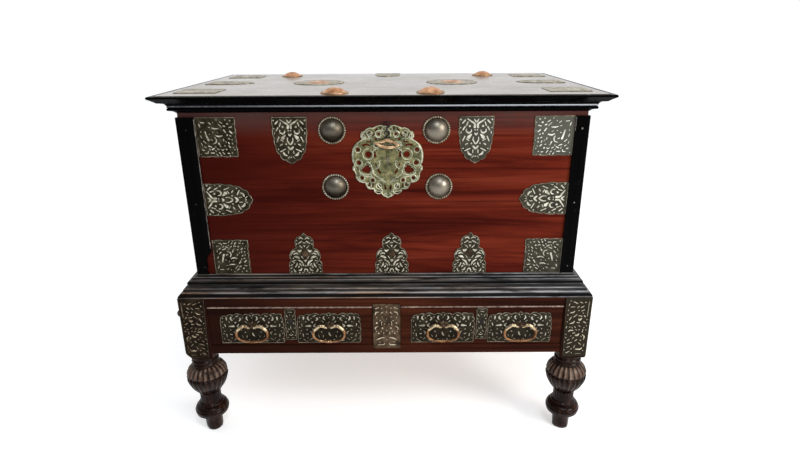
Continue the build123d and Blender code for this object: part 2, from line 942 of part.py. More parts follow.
with BuildPart() as lid_corner_plates:
    for side in (-1, 1):
        for corner_y, into in (
            (front_y + lid_plate_end_inset, 1),
            (back_y - lid_plate_end_inset, -1),
        ):
            corner_x = side * (lid_board_half - lid_plate_side_inset)
            corner = Plane(
                origin=(corner_x, corner_y, lid_top_z),
                x_dir=(-side, 0, 0),
                z_dir=(0, 0, -side * into),
            )
            with BuildSketch(corner):
                with BuildLine():
                    scalloped_corner(lid_plate_length, lid_plate_depth)
                make_face()
            extrude(amount=-side * into * plate_thickness)
save(lid_corner_plates.part, "lid_corner_plates")

with BuildPart() as lid_tongues:
    tongue_places = [
        (-lid_board_half + lid_plate_side_inset, mid_y, 0),
        (lid_board_half - lid_plate_side_inset, mid_y, 180),
        (0, back_y - 4, -90),
    ]
    for base_x, base_y, turn in tongue_places:
        across = (math.sin(math.radians(turn)), -math.cos(math.radians(turn)), 0)
        with BuildSketch(Plane(origin=(base_x, base_y, lid_top_z), x_dir=across, z_dir=(0, 0, 1))):
            with BuildLine():
                tongue_outline(tongue_width, lid_tongue_length)
            make_face()
    extrude(amount=plate_thickness)
save(lid_tongues.part, "lid_tongues")

lid_rosettes = [
    domed_disc(
        Plane(origin=(side * lid_rosette_x, mid_y, lid_top_z)),
        lid_rosette_radius,
        plate_thickness,
        lid_rosette_dome_radius,
        lid_rosette_height,
    )
    for side in (-1, 1)
]
save(Compound(children=lid_rosettes), "lid_rosettes")

lid_boss_places = [
    (side * x, y)
    for side in (-1, 1)
    for x, y in (
        (lid_front_boss_x, front_y + lid_front_boss_inset),
        (lid_back_boss_x, back_y - lid_back_boss_inset),
    )
]
lid_bosses = [boss(Plane(origin=(x, y, lid_top_z))) for x, y in lid_boss_places]
save(Compound(children=lid_bosses), "lid_bosses")

# ---------------------------------------------------------------- hinges

knuckle_third = hinge_width / 3


def make_chest_leaf(x):
    """Leaf on the chest's back, with two knuckles and the pin."""
    start = x - hinge_width / 2
    with BuildPart() as leaf:
        shoulder_z = hinge_axis_z - hinge_knuckle_radius - 2
        block(
            (start, back_y, hinge_axis_z - hinge_leaf_drop),
            (start + hinge_width, back_y + hinge_leaf_thickness, shoulder_z),
        )
        for knuckle_x in (start, start + 2 * knuckle_third):
            block(
                (knuckle_x, back_y, shoulder_z),
                (knuckle_x + knuckle_third, back_y + hinge_leaf_thickness, hinge_axis_z - 1),
            )
            with Locations(
                Location((knuckle_x + knuckle_third / 2, hinge_axis_y, hinge_axis_z), (0, 90, 0))
            ):
                Cylinder(hinge_knuckle_radius, knuckle_third)
        with Locations(Location((x, hinge_axis_y, hinge_axis_z), (0, 90, 0))):
            Cylinder(hinge_pin_radius, hinge_width)
    return leaf.part


def make_lid_leaf(x):
    """Leaf on the lid's back edge, with the middle knuckle."""
    low_x = x - knuckle_third / 2 + hinge_knuckle_gap
    high_x = x + knuckle_third / 2 - hinge_knuckle_gap
    with BuildPart() as leaf:
        shoulder_z = hinge_axis_z + hinge_knuckle_radius + 2
        block(
            (x - hinge_width / 2, back_y, shoulder_z),
            (x + hinge_width / 2, back_y + hinge_leaf_thickness, lid_top_z - 2),
        )
        block(
            (low_x, back_y, hinge_axis_z + 1),
            (high_x, back_y + hinge_leaf_thickness, shoulder_z),
        )
        with Locations(Location((x, hinge_axis_y, hinge_axis_z), (0, 90, 0))):
            Cylinder(hinge_knuckle_radius, high_x - low_x)
            Cylinder(hinge_pin_radius + bore_clearance, hinge_width, mode=Mode.SUBTRACT)
    return leaf.part


save(
    Compound(children=[make_chest_leaf(-hinge_x), make_chest_leaf(hinge_x)]),
    "chest_hinge_leaves",
)
save(Compound(children=[make_lid_leaf(-hinge_x), make_lid_leaf(hinge_x)]), "lid_hinge_leaves")

# ---------------------------------------------------------------- lock

lock_front_y = face_y + board_thickness
lock_mid_y = lock_front_y + lock_depth / 2
lug_low_y = lock_mid_y - staple_lug_width / 2
lug_high_y = lock_mid_y + staple_lug_width / 2
lug_half = staple_lug_thickness / 2
lug_slot_gap = 2.0
bolt_gap = 0.3
bolt_rib = 4.0
bolt_start_gap = 2.5  # drawn-back bolt beside the lug
staple_plate_half = 22.0
staple_plate_reach = 20.0  # behind the lug

with BuildPart() as lid_lock_staple:
    block(
        (escutcheon_x - staple_plate_half, lug_low_y, lid_board_z - staple_plate_thickness),
        (escutcheon_x + staple_plate_half, lug_high_y + staple_plate_reach, lid_board_z),
    )
    block(
        (escutcheon_x - lug_half, lug_low_y, lid_board_z - staple_lug_drop),
        (escutcheon_x + lug_half, lug_high_y, lid_board_z - staple_plate_thickness),
    )
    block(
        (escutcheon_x - lug_half, lock_mid_y - bolt_width / 2 - 1, bolt_z - bolt_height / 2 - 1),
        (escutcheon_x + lug_half, lock_mid_y + bolt_width / 2 + 1, bolt_z + bolt_height / 2 + 1),
        mode=Mode.SUBTRACT,
    )
save(lid_lock_staple.part, "lid_lock_staple")

with BuildPart() as lock_case:
    case_left = escutcheon_x - lock_width / 2
    case_right = escutcheon_x + lock_width / 2
    block(
        (case_left, lock_front_y, lock_base_z),
        (case_right, lock_front_y + lock_depth, lock_top_z),
    )
    block(
        (case_left + lock_wall, lock_front_y + lock_wall, lock_base_z + lock_wall),
        (case_right - lock_wall, lock_front_y + lock_depth - lock_wall, lock_top_z - lock_wall),
        mode=Mode.SUBTRACT,
    )
    block(
        (escutcheon_x - lug_half - lug_slot_gap, lug_low_y - lug_slot_gap, lock_top_z - lock_wall),
        (escutcheon_x + lug_half + lug_slot_gap, lug_high_y + lug_slot_gap, lock_top_z),
        mode=Mode.SUBTRACT,
    )
    with BuildSketch(front_plane(escutcheon_x, keyhole_z, lock_front_y)):
        keyhole_outline(keyhole_radius, keyhole_slot_width, keyhole_slot_drop)
    extrude(amount=-lock_wall, mode=Mode.SUBTRACT)
    # Two guide ribs that carry the bolt.
    bolt_end_x = escutcheon_x - lug_half - bolt_start_gap
    low_rib_z = bolt_z - bolt_height / 2 - bolt_gap - bolt_rib
    high_rib_z = bolt_z + bolt_height / 2 + bolt_gap
    for rib_z in (low_rib_z, high_rib_z):
        rib_top = min(rib_z + bolt_rib, lock_top_z - lock_wall)
        block(
            (case_left + lock_wall, lock_front_y + lock_wall, rib_z),
            (bolt_end_x, lock_front_y + lock_depth - lock_wall, rib_top),
        )
save(lock_case.part, "lock_case")

with BuildPart() as lock_bolt:
    block(
        (bolt_end_x - bolt_length, lock_mid_y - bolt_width / 2, bolt_z - bolt_height / 2),
        (bolt_end_x, lock_mid_y + bolt_width / 2, bolt_z + bolt_height / 2),
    )
save(lock_bolt.part, "lock_bolt")

# ---------------------------------------------------------------- iron staples and the pull

plate_face_y = face_y - escutcheon_thickness
pull_axis_y = plate_face_y - pull_standoff
with BuildPart() as iron_staples:
    leg_x = pull_eye_width / 2 + staple_leg_gap
    for side in (-1, 1):
        with BuildSketch(front_plane(escutcheon_x + side * leg_x, pull_pivot_z, plate_face_y)):
            Circle(staple_leg_radius)
    extrude(amount=pull_standoff)
    with Locations(Location((escutcheon_x, pull_axis_y, pull_pivot_z), (0, 90, 0))):
        Cylinder(pull_bar_radius, 2 * leg_x + staple_bar_extra)
    # The upper hook, an open crook that stands out of the board.
    hook_x = escutcheon_x - hook_shift
    hook_z = escutcheon_top_z + hook_lift
    with BuildLine():
        FilletPolyline(
            (hook_x, face_y, hook_z),
            (hook_x, face_y - hook_reach, hook_z),
            (hook_x, face_y - hook_reach, hook_z + hook_reach),
            radius=hook_bend,
        )
    with BuildSketch(front_plane(hook_x, hook_z, face_y)):
        Circle(pull_bar_radius)
    sweep()
save(iron_staples.part, "iron_staples")

with BuildPart() as pull_handle:
    eye_base_z = pull_pivot_z - pull_eye_radius
    crescent_top_z = pull_pivot_z - pull_neck_drop
    with Locations(Location((escutcheon_x, pull_axis_y, pull_pivot_z), (0, 90, 0))):
        Cylinder(pull_eye_radius, pull_eye_width)
    block(
        (escutcheon_x - pull_neck_half, pull_axis_y - pull_neck_half, crescent_top_z - 6),
        (escutcheon_x + pull_neck_half, pull_axis_y + pull_neck_half, eye_base_z + 2),
    )
    with BuildSketch(front_plane(escutcheon_x, crescent_top_z, pull_axis_y)):
        with BuildLine():
            ThreePointArc((-pull_half_width, 4), (0, -6), (pull_half_width, -4))
            ThreePointArc((pull_half_width, -4), (0, -14), (-pull_half_width, 4))
        make_face()
    extrude(amount=pull_thickness / 2, both=True)
    with Locations((escutcheon_x, pull_axis_y, crescent_top_z - 2)):
        Sphere(pull_ball_radius)
    with Locations(Location((escutcheon_x, pull_axis_y, pull_pivot_z), (0, 90, 0))):
        Cylinder(pull_bar_radius + bore_clearance, 2 * pull_eye_width, mode=Mode.SUBTRACT)
save(pull_handle.part, "pull_handle")

# ---------------------------------------------------------------- drop handles


def make_bail(scale):
    """An oval drop handle about the X axis at the origin, open at the top, with two ball ends."""
    half_width = bail_half_width * scale
    drop = bail_drop * scale
    wire = bail_wire_radius * scale
    bend = drop / 2
    straight = half_width - bend
    with BuildPart() as bail:
        with BuildLine():
            Line((straight, 0, 0), (straight - 0.5 * scale, 0, 0))
            ThreePointArc(
                (straight, 0, 0), (half_width, 0, -bend), (straight, 0, -drop)
            )
            Line((straight, 0, -drop), (-straight, 0, -drop))
            ThreePointArc(
                (-straight, 0, -drop), (-half_width, 0, -bend), (-straight, 0, 0)
            )
            Line((-straight, 0, 0), (-straight + 0.5 * scale, 0, 0))
        with BuildSketch(Plane(origin=(straight - 0.5 * scale, 0, 0), z_dir=(1, 0, 0))):
            Circle(wire)
        sweep()
        for side in (-1, 1):
            end_length = straight - bail_ball_x * scale
            middle = side * (straight + bail_ball_x * scale) / 2
            with Locations(Location((middle, 0, 0), (0, 90, 0))):
                Cylinder(bail_end_radius * scale, end_length)
            with Locations((side * bail_ball_x * scale, 0, 0)):
                Sphere(bail_ball_radius * scale)
            with Locations((side * bail_knop_radius * 0.9 * scale, 0, -drop)):
                Sphere(bail_knop_radius * scale)
    return bail.part


def make_bail_posts(scale):
    """The two posts of a drop handle: a shank from the plate and a pierced head."""
    head_x = bail_head_x * scale
    with BuildPart() as posts:
        for side in (-1, 1):
            with BuildSketch(Plane(origin=(side * head_x, bail_standoff * scale, 0), z_dir=(0, -1, 0))):
                Circle(bail_head_length * 0.4 * scale)
        extrude(amount=bail_standoff * scale)
        for side in (-1, 1):
            with Locations(Location((side * head_x, 0, 0), (0, 90, 0))):
                Cylinder(bail_head_radius * scale, bail_head_length * scale)
                Cylinder(
                    bail_end_radius * scale + bore_clearance,
                    2 * bail_head_length * scale,
                    mode=Mode.SUBTRACT,
                )
    return posts.part


bail = make_bail(1)
bail_posts = make_bail_posts(1)

# ---------------------------------------------------------------- drawers


def make_drawer(side, opening_low, opening_high):
    """Front, box, brass plates, posts and bails of one drawer, written as its nodes."""
    name = "left" if side < 0 else "right"
    mid_x = (opening_low + opening_high) / 2
    front_low_z = drawer_base_z + drawer_gap
    front_high_z = drawer_top_z - drawer_gap

    with BuildPart() as front:
        block(
            (opening_low + drawer_gap, drawer_front_y, front_low_z),
            (opening_high - drawer_gap, drawer_box_y, front_high_z),
        )
        with BuildSketch(front_plane(mid_x, drawer_key_z, drawer_front_y)):
            keyhole_outline(drawer_keyhole_radius, drawer_keyhole_width, drawer_keyhole_drop)
        extrude(amount=-drawer_front_thickness, mode=Mode.SUBTRACT)
    save(front.part, f"drawer_{name}_front")

    base_z = drawer_base_z + runner_gap
    low_x = opening_low + drawer_side_gap
    high_x = opening_high - drawer_side_gap
    box_back_y = drawer_box_y + drawer_box_depth
    wall = drawer_side_thickness
    sides = []
    for wall_x in (low_x, high_x - wall):
        with BuildPart() as box_side:
            block(
                (wall_x, drawer_box_y, base_z),
                (wall_x + wall, box_back_y, base_z + drawer_side_height),
            )
        sides.append(box_side.part)
    with BuildPart() as box_back:
        block(
            (low_x + wall, box_back_y - wall, base_z),
            (high_x - wall, box_back_y, base_z + drawer_side_height),
        )
    with BuildPart() as box_bottom:
        block(
            (low_x + wall, drawer_box_y, base_z + drawer_bottom_lift),
            (
                high_x - wall,
                box_back_y - wall,
                base_z + drawer_bottom_lift + drawer_bottom_thickness,
            ),
        )
    save(Compound(children=[*sides, box_back.part, box_bottom.part]), f"drawer_{name}_box")

    plate_base_z = bail_pivot_z - drawer_plate_height * 0.6
    keyplate_half = drawer_keyplate_width / 2
    plate_x = keyplate_half + drawer_plate_gap
    with BuildPart() as mounts:
        for way in (-1, 1):
            low, high = sorted((mid_x + way * plate_x, mid_x + way * (plate_x + drawer_plate_length)))
            block(
                (low, drawer_front_y - plate_thickness, plate_base_z),
                (high, drawer_front_y, plate_base_z + drawer_plate_height),
            )
        key_base_z = plate_base_z + drawer_keyplate_lift
        block(
            (mid_x - keyplate_half, drawer_front_y - plate_thickness, key_base_z),
            (mid_x + keyplate_half, drawer_front_y, key_base_z + drawer_keyplate_height),
        )
        with BuildSketch(front_plane(mid_x, drawer_key_z, drawer_front_y)):
            keyhole_outline(drawer_keyhole_radius, drawer_keyhole_width, drawer_keyhole_drop)
        extrude(amount=plate_thickness, mode=Mode.SUBTRACT)
    save(mounts.part, f"drawer_{name}_mounts")

    handle_x = plate_x + drawer_plate_length / 2
    pivot_y = drawer_front_y - plate_thickness - bail_standoff
    places = {"outer": mid_x + side * handle_x, "inner": mid_x - side * handle_x}
    post_pairs = []
    for place, x in places.items():
        spot = Location((x, pivot_y, bail_pivot_z))
        save(bail.moved(spot), f"drawer_{name}_bail_{place}")
        post_pairs.append(bail_posts.moved(spot))
    save(Compound(children=post_pairs), f"drawer_{name}_bail_posts")


make_drawer(-1, -post_inner_x, stile_left_x)
make_drawer(1, stile_right_x, post_inner_x)

# ---------------------------------------------------------------- lifting handles on the sides

side_bail = make_bail(side_handle_scale)
side_posts = make_bail_posts(side_handle_scale)
side_standoff = bail_standoff * side_handle_scale
side_mounts = []
for side in (-1, 1):
    name = "left" if side < 0 else "right"
    pivot_x = side * (half_chest + plate_thickness + side_standoff)
    spot = Location((pivot_x, mid_y, side_handle_z), (0, 0, side * 90))
    save(side_bail.moved(spot), f"side_handle_{name}")
    with BuildPart() as side_plate:
        low_x, high_x = sorted((side * half_chest, side * (half_chest + plate_thickness)))
        block(
            (low_x, mid_y - side_plate_length / 2, side_handle_z - side_plate_height * 0.62),
            (high_x, mid_y + side_plate_length / 2, side_handle_z + side_plate_height * 0.38),
        )
        add(side_posts.moved(spot))
    side_mounts.append(side_plate.part)
save(Compound(children=side_mounts), "side_handle_mounts")
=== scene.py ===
import math
import random

import bpy
from mathutils import Matrix, Vector


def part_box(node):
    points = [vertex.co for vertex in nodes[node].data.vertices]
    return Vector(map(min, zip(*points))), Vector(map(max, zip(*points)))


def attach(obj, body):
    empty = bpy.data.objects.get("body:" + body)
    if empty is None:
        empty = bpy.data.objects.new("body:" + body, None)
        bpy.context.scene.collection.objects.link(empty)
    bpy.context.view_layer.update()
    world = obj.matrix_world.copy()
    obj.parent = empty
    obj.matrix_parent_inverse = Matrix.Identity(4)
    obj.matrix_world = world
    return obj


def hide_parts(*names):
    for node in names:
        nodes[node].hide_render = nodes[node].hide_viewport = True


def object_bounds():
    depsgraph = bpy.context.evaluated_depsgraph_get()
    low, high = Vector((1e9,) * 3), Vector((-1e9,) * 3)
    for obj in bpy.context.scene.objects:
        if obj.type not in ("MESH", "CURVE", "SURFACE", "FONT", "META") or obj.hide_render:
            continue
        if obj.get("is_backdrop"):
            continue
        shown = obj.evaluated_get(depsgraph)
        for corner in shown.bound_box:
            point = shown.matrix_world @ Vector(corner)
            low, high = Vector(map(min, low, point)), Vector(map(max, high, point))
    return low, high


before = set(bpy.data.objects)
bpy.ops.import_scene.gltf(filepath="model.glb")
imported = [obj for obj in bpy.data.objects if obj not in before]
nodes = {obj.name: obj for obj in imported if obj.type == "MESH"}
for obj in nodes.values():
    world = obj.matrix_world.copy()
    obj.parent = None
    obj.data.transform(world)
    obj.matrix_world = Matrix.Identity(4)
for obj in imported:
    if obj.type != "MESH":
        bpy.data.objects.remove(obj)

cad_box = [list(corner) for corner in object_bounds()]
BASE = "chest_and_stand"
MM = 0.001  # shapes are drawn in millimetres
RIGHT, UP = (1, 0, 0), (0, 0, 1)


def box_mm(name):
    """Low and high corners of a CAD piece in millimetres."""
    return [corner * 1000 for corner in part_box(name)]


def middle_mm(name):
    """Middle of a CAD piece in millimetres."""
    low, high = box_mm(name)
    return (low + high) / 2


# ------------------------------------------------------------------ camera
# Lens and sensor in millimetres, eye in metres, angles in radians.

LENS, SENSOR = 24.15, 36.0
EYE = (0.04948, -1.85236, 1.26432)
YAW, PITCH, ROLL = -0.0018, 0.3462, -0.0054

camera_data = bpy.data.cameras.new("camera")
camera_data.lens = LENS
camera_data.sensor_width = SENSOR
camera_data.clip_end = 200.0
camera = bpy.data.objects.new("camera", camera_data)
bpy.context.collection.objects.link(camera)
level_rows = Matrix((RIGHT, (0, 0, -1), (0, 1, 0)))  # right, down and forward of a level camera
tilt = Matrix.Rotation(ROLL, 3, "Z") @ Matrix.Rotation(PITCH, 3, "X")
rows = tilt @ level_rows @ Matrix.Rotation(YAW, 3, "Z")
facing = Matrix((rows[0], -rows[1], -rows[2])).transposed()
camera.matrix_world = Matrix.Translation(EYE) @ facing.to_4x4()
bpy.context.scene.camera = camera

# ------------------------------------------------------------------ materials


class Nodes:
    """Short names for the nodes of one tree."""

    def __init__(self, tree):
        self.tree = tree

    def put(self, socket, value):
        if isinstance(value, bpy.types.NodeSocket):
            self.tree.links.new(value, socket)
        else:
            socket.default_value = value

    def node(self, kind, out=0, **inputs):
        made = self.tree.nodes.new("ShaderNode" + kind)
        for key, value in inputs.items():
            self.put(made.inputs[key], value)
        return made.outputs[out]

    def axis(self, place, axis):
        return self.node("SeparateXYZ", "XYZ".index(axis), Vector=place)

    def mix(self, amount, low, high):
        made = self.tree.nodes.new("ShaderNodeMix")
        made.data_type = "RGBA"
        self.put(made.inputs[0], amount)
        for socket, value in ((made.inputs[6], low), (made.inputs[7], high)):
            self.put(socket, (*value, 1) if isinstance(value, tuple) else value)
        return made.outputs[2]

    def math(self, way, low, high, clamp=False):
        made = self.tree.nodes.new("ShaderNodeMath")
        made.operation = way
        made.use_clamp = clamp
        self.put(made.inputs[0], low)
        self.put(made.inputs[1], high)
        return made.outputs[0]

    def times(self, low, high, clamp=False):
        return self.math("MULTIPLY", low, high, clamp)

    def grade(self, value, low, high, out_low=0.0, out_high=1.0, kind="LINEAR"):
        made = self.tree.nodes.new("ShaderNodeMapRange")
        made.interpolation_type = kind
        for socket, number in zip(made.inputs, (value, low, high, out_low, out_high)):
            self.put(socket, number)
        return made.outputs[0]


class Paint(Nodes):
    """One node material, painted by the place on the object."""

    def __init__(self, name):
        self.material = bpy.data.materials.new(name)
        self.material.use_nodes = True
        super().__init__(self.material.node_tree)
        self.shader = self.tree.nodes["Principled BSDF"]
        self.place = self.tree.nodes.new("ShaderNodeTexCoord").outputs["Object"]
        self.x, self.z = self.axis(self.place, "X"), self.axis(self.place, "Z")

    def noise(self, scale, detail=4.0, rough=0.55, bend=0.0, where=None):
        return self.node(
            "TexNoise",
            Vector=where or self.place,
            Scale=scale,
            Detail=detail,
            Roughness=rough,
            Distortion=bend,
        )

    def grain(self, along, length, across, *noise):
        """Noise drawn out along one axis; length and across are its scales."""
        scale = tuple(length if axis == along else across for axis in "XYZ")
        return self.noise(1.0, *noise, where=self.node("Mapping", Vector=self.place, Scale=scale))

    def ramp(self, value, stops):
        made = self.tree.nodes.new("ShaderNodeValToRGB")
        self.put(made.inputs[0], value)
        band = made.color_ramp.elements
        while len(band) < len(stops):
            band.new(0.5)
        for stop, (at, colour) in zip(band, stops):
            stop.position = at
            stop.color = (*colour, 1)
        return made.outputs[0]

    def bump(self, height, strength, distance):
        made = self.node("Bump", Height=height, Strength=strength, Distance=distance)
        self.put(self.shader.inputs["Normal"], made)

    def finish(self, colour, rough, metal=0.0, coat=0.0, coat_rough=0.1, level=0.5):
        self.put(self.shader.inputs["Base Color"], colour)
        self.put(self.shader.inputs["Roughness"], rough)
        self.shader.inputs["Metallic"].default_value = metal
        self.shader.inputs["Coat Weight"].default_value = coat
        self.shader.inputs["Coat Roughness"].default_value = coat_rough
        self.shader.inputs["Specular IOR Level"].default_value = level
        return self.material


PORES, TOP_SHEEN, UNDERSIDE_SHADE = (0.006, 0.003, 0.003), (0.064, 0.035, 0.031), (0.014, 0.010, 0.005)


def wood(name, along, dark, middle, light, rough=0.36, coat=0.0, level=0.025, painted_light=False):
    """Polished hardwood with grain along one axis.

    With painted light the wood gets painted shade that darkens it to the left, and a painted grey sheen along
    its top.
    """
    paint = Paint(name)
    figure = paint.grain(along, 1.3, 16, 6, 0.6, 0.9)
    colour = paint.ramp(figure, [(0.3, dark), (0.5, middle), (0.72, light)])
    broad = paint.grade(paint.grain(along, 0.8, 2.4, 3, 0.5, 0.5), 0.35, 0.68)
    colour = paint.mix(broad, colour, paint.mix(0.42, colour, dark))
    fine = paint.grain(along, 2.2, 95, 5, 0.62, 0.35)
    colour = paint.mix(paint.times(paint.grade(fine, 0.5, 0.68), 0.75), colour, dark)
    veins = paint.grade(paint.grain(along, 1.0, 36, 4, 0.55, 0.5), 0.55, 0.64)
    colour = paint.mix(paint.times(veins, 0.45), colour, dark)
    pits = paint.grade(paint.grain(along, 22, 900, 2, 0.5), 0.58, 0.72)
    colour = paint.mix(paint.times(pits, 0.25), colour, PORES)
    cloud = paint.noise(7.0, 5, 0.6)
    if painted_light:
        # painted shade: the wood is darkened towards the left, away from the light
        colour = paint.mix(paint.grade(paint.x, -0.5, 0.12, 0.86, 0.0), colour, dark)
        # painted highlight: a grey sheen painted in patches along the top
        top_sheen = paint.times(paint.grade(paint.z, 0.985, 1.05), paint.grade(cloud, 0.3, 0.65, 0.5, 0.9))
        colour = paint.mix(top_sheen, colour, TOP_SHEEN)
    smear = paint.grade(cloud, 0.3, 0.7, rough - 0.05, rough + 0.1)
    paint.bump(paint.math("SUBTRACT", paint.times(fine, 0.5), paint.times(pits, 0.6)), 0.22, 0.0012)
    return paint.finish(colour, smear, 0.0, coat, 0.12, level)


def metal(name, dark, middle, light, rough=0.4, metallic=0.85, size=55.0, bump=0.25, level=0.5, underside_shade=0.0,
          right_sheen=None, low_tone=None):
    """Old rubbed metal: patina in clouds and spots, with painted shade darkening what faces down.

    Right sheen is a painted highlight: the lighter tone painted on its right, where the light falls, the x
    where that starts and ends and its lowest z. Low tone is the darker tone it takes towards its foot and the
    z where that ends.
    """
    paint = Paint(name)
    cloud = paint.noise(size, 6, 0.62, 0.3)
    colour = paint.ramp(cloud, [(0.34, dark), (0.52, middle), (0.7, light)])
    spots = paint.noise(size * 9, 3, 0.5)
    colour = paint.mix(paint.grade(spots, 0.56, 0.72), colour, dark)
    # painted shade: faces that look down are darkened
    if underside_shade:
        upward = paint.axis(paint.node("NewGeometry", 1), "Z")
        colour = paint.mix(paint.grade(upward, -0.42, 0.4, underside_shade, 0.0), colour, UNDERSIDE_SHADE)
    # painted highlight: a lighter tone on the right, where the light falls
    if right_sheen:
        tone, left, right, foot = right_sheen
        share = paint.times(
            paint.grade(paint.x, left, right), paint.grade(paint.z, foot, foot + 0.12, 0.2, 0.8)
        )
        colour = paint.mix(share, colour, tone)
    # darker towards the bottom
    if low_tone:
        tone, foot, top = low_tone
        colour = paint.mix(paint.grade(paint.z, foot, top, 0.7, 0.0), colour, tone)
    smear = paint.grade(cloud, 0.35, 0.65, rough + 0.12, rough - 0.06)
    paint.bump(paint.math("ADD", cloud, paint.times(spots, 0.5)), bump, 0.0008)
    return paint.finish(colour, smear, metallic, level=level)


def ebony(name, along):
    """Near-black polished wood with a few brown rubs."""
    paint = Paint(name)
    grain = paint.grain(along, 2.5, 120, 5, 0.6, 0.3)
    tones = [(0.35, (0.0004, 0.0004, 0.0005)), (0.62, (0.0012, 0.0011, 0.0013)), (0.8, (0.005, 0.004, 0.004))]
    colour = paint.ramp(grain, tones)
    wear = paint.noise(24.0, 6, 0.7)
    colour = paint.mix(paint.grade(wear, 0.64, 0.8, 0.0, 0.5), colour, (0.035, 0.024, 0.018))
    paint.bump(grain, 0.2, 0.0008)
    return paint.finish(colour, paint.grade(wear, 0.35, 0.65, 0.2, 0.36), level=0.02)


def striped(name, along, piece, stops):
    """Moulding wood with pale lines along its edges, partly rubbed wood and partly painted highlight; the
    stops run from its foot to its top.
    """
    paint = Paint(name)
    foot, top = (corner.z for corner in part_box(piece))
    edges = paint.ramp(paint.grade(paint.z, foot, top), [(at, (tone, tone, tone)) for at, tone in stops])
    patchy = paint.grain(along, 7.0, 60, 6, 0.65, 0.3)
    share = paint.times(edges, paint.grade(patchy, 0.36, 0.6, 0.12, 1.4), True)
    # painted highlight: the pale lines grow stronger to the right, where the light falls
    share = paint.times(share, paint.grade(paint.x, -0.55, 0.15, 0.6, 1.15), True)
    hue = paint.grain(along, 2.2, 25, 4, 0.6)
    pale = paint.ramp(
        hue, [(0.4, (0.42, 0.27, 0.19)), (0.52, (0.36, 0.34, 0.33)), (0.68, (0.56, 0.44, 0.35))]
    )
    # painted reflection: the pale lines turn bluer to the right
    pale = paint.mix(paint.grade(paint.x, 0.05, 0.45, 0.0, 0.7), pale, (0.38, 0.4, 0.43))
    paint.bump(patchy, 0.3, 0.001)
    return paint.finish(paint.mix(share, (0.0014, 0.0012, 0.0012), pale), 0.32, level=0.03)


ROSEWOOD = ((0.028, 0.002, 0.001), (0.120, 0.0145, 0.0062), (0.172, 0.0285, 0.0125))
PLAIN_WOOD = ((0.14, 0.07, 0.035), (0.26, 0.14, 0.075), (0.36, 0.21, 0.12), 0.62, 0.0, 0.3)
rosewood = wood("rosewood", "X", *ROSEWOOD, painted_light=True)
rosewood_y = wood("rosewood_side", "Y", *ROSEWOOD)
lid_wood = wood(
    "lid_wood", "X", (0.05, 0.026, 0.011), (0.11, 0.07, 0.034), (0.18, 0.12, 0.06), 0.26, 0.42, 0.75
)
stand_wood = wood(
    "stand_wood", "X", (0.008, 0.0017, 0.0009), (0.046, 0.0105, 0.0045), (0.1, 0.024, 0.009), painted_light=True
)
stand_wood_y = wood(
    "stand_wood_side", "Y", (0.008, 0.002, 0.001), (0.028, 0.006, 0.003), (0.055, 0.013, 0.006)
)
stand_wood_z = wood(
    "stand_wood_post", "Z", (0.006, 0.0018, 0.001), (0.018, 0.005, 0.003), (0.04, 0.011, 0.006)
)
inner_wood = wood("inner_wood", "X", *PLAIN_WOOD)
inner_wood_y = wood("inner_wood_y", "Y", *PLAIN_WOOD)
ebony_x, ebony_y, ebony_z = (ebony("ebony_" + axis.lower(), axis) for axis in "XYZ")

# How strong each moulding's pale lines are, rubbed wood and painted highlight, from its foot at 0 to its top
# at 1.
BASE_STOPS = [
    (0.0, 0.06), (0.1, 0.3), (0.14, 0.12), (0.2, 0.005), (0.34, 0.0), (0.4, 0.02), (0.5, 0.1), (0.56, 0.6),
    (0.6, 0.1), (0.66, 0.005), (0.74, 0.03), (0.78, 0.6), (0.82, 0.02), (0.92, 0.03), (0.97, 0.8), (1.0, 0.3),
]
STAND_STOPS = [
    (0.0, 0.06), (0.04, 0.65), (0.1, 0.24), (0.15, 0.01), (0.24, 0.01), (0.34, 0.03), (0.42, 0.12),
    (0.46, 0.9), (0.52, 0.6), (0.57, 0.05), (0.7, 0.08), (0.77, 0.08), (0.82, 0.6), (0.88, 0.12), (1.0, 0.1),
]
base_x, base_y = (striped("base_" + axis.lower(), axis, "base_moulding", BASE_STOPS) for axis in "XY")
moulding_x, moulding_y = (
    striped("moulding_" + axis.lower(), axis, "stand_moulding", STAND_STOPS) for axis in "XY"
)

# brass_dark and brass_pale: painted highlight on the right; darker towards the bottom
brass_dark = metal(
    "brass_dark", (0.010, 0.0075, 0.004), (0.028, 0.022, 0.012), (0.065, 0.054, 0.034), 0.46, 0.2, level=0.06,
    right_sheen=((0.092, 0.092, 0.075), 0.1, 0.45, 0.86), low_tone=((0.012, 0.008, 0.004), 0.4, 0.5),
)
brass_pale = metal(
    "brass_pale", (0.2, 0.18, 0.125), (0.46, 0.43, 0.33), (0.78, 0.75, 0.64), 0.5, 0.1, 90.0, level=0.2,
    right_sheen=((0.72, 0.74, 0.66), 0.1, 0.45, 0.86), low_tone=((0.24, 0.175, 0.10), 0.33, 0.42),
)
brass_cream = metal(
    "brass_cream", (0.28, 0.21, 0.14), (0.6, 0.5, 0.36), (0.86, 0.78, 0.62), 0.5, 0.1, 90.0, level=0.2
)
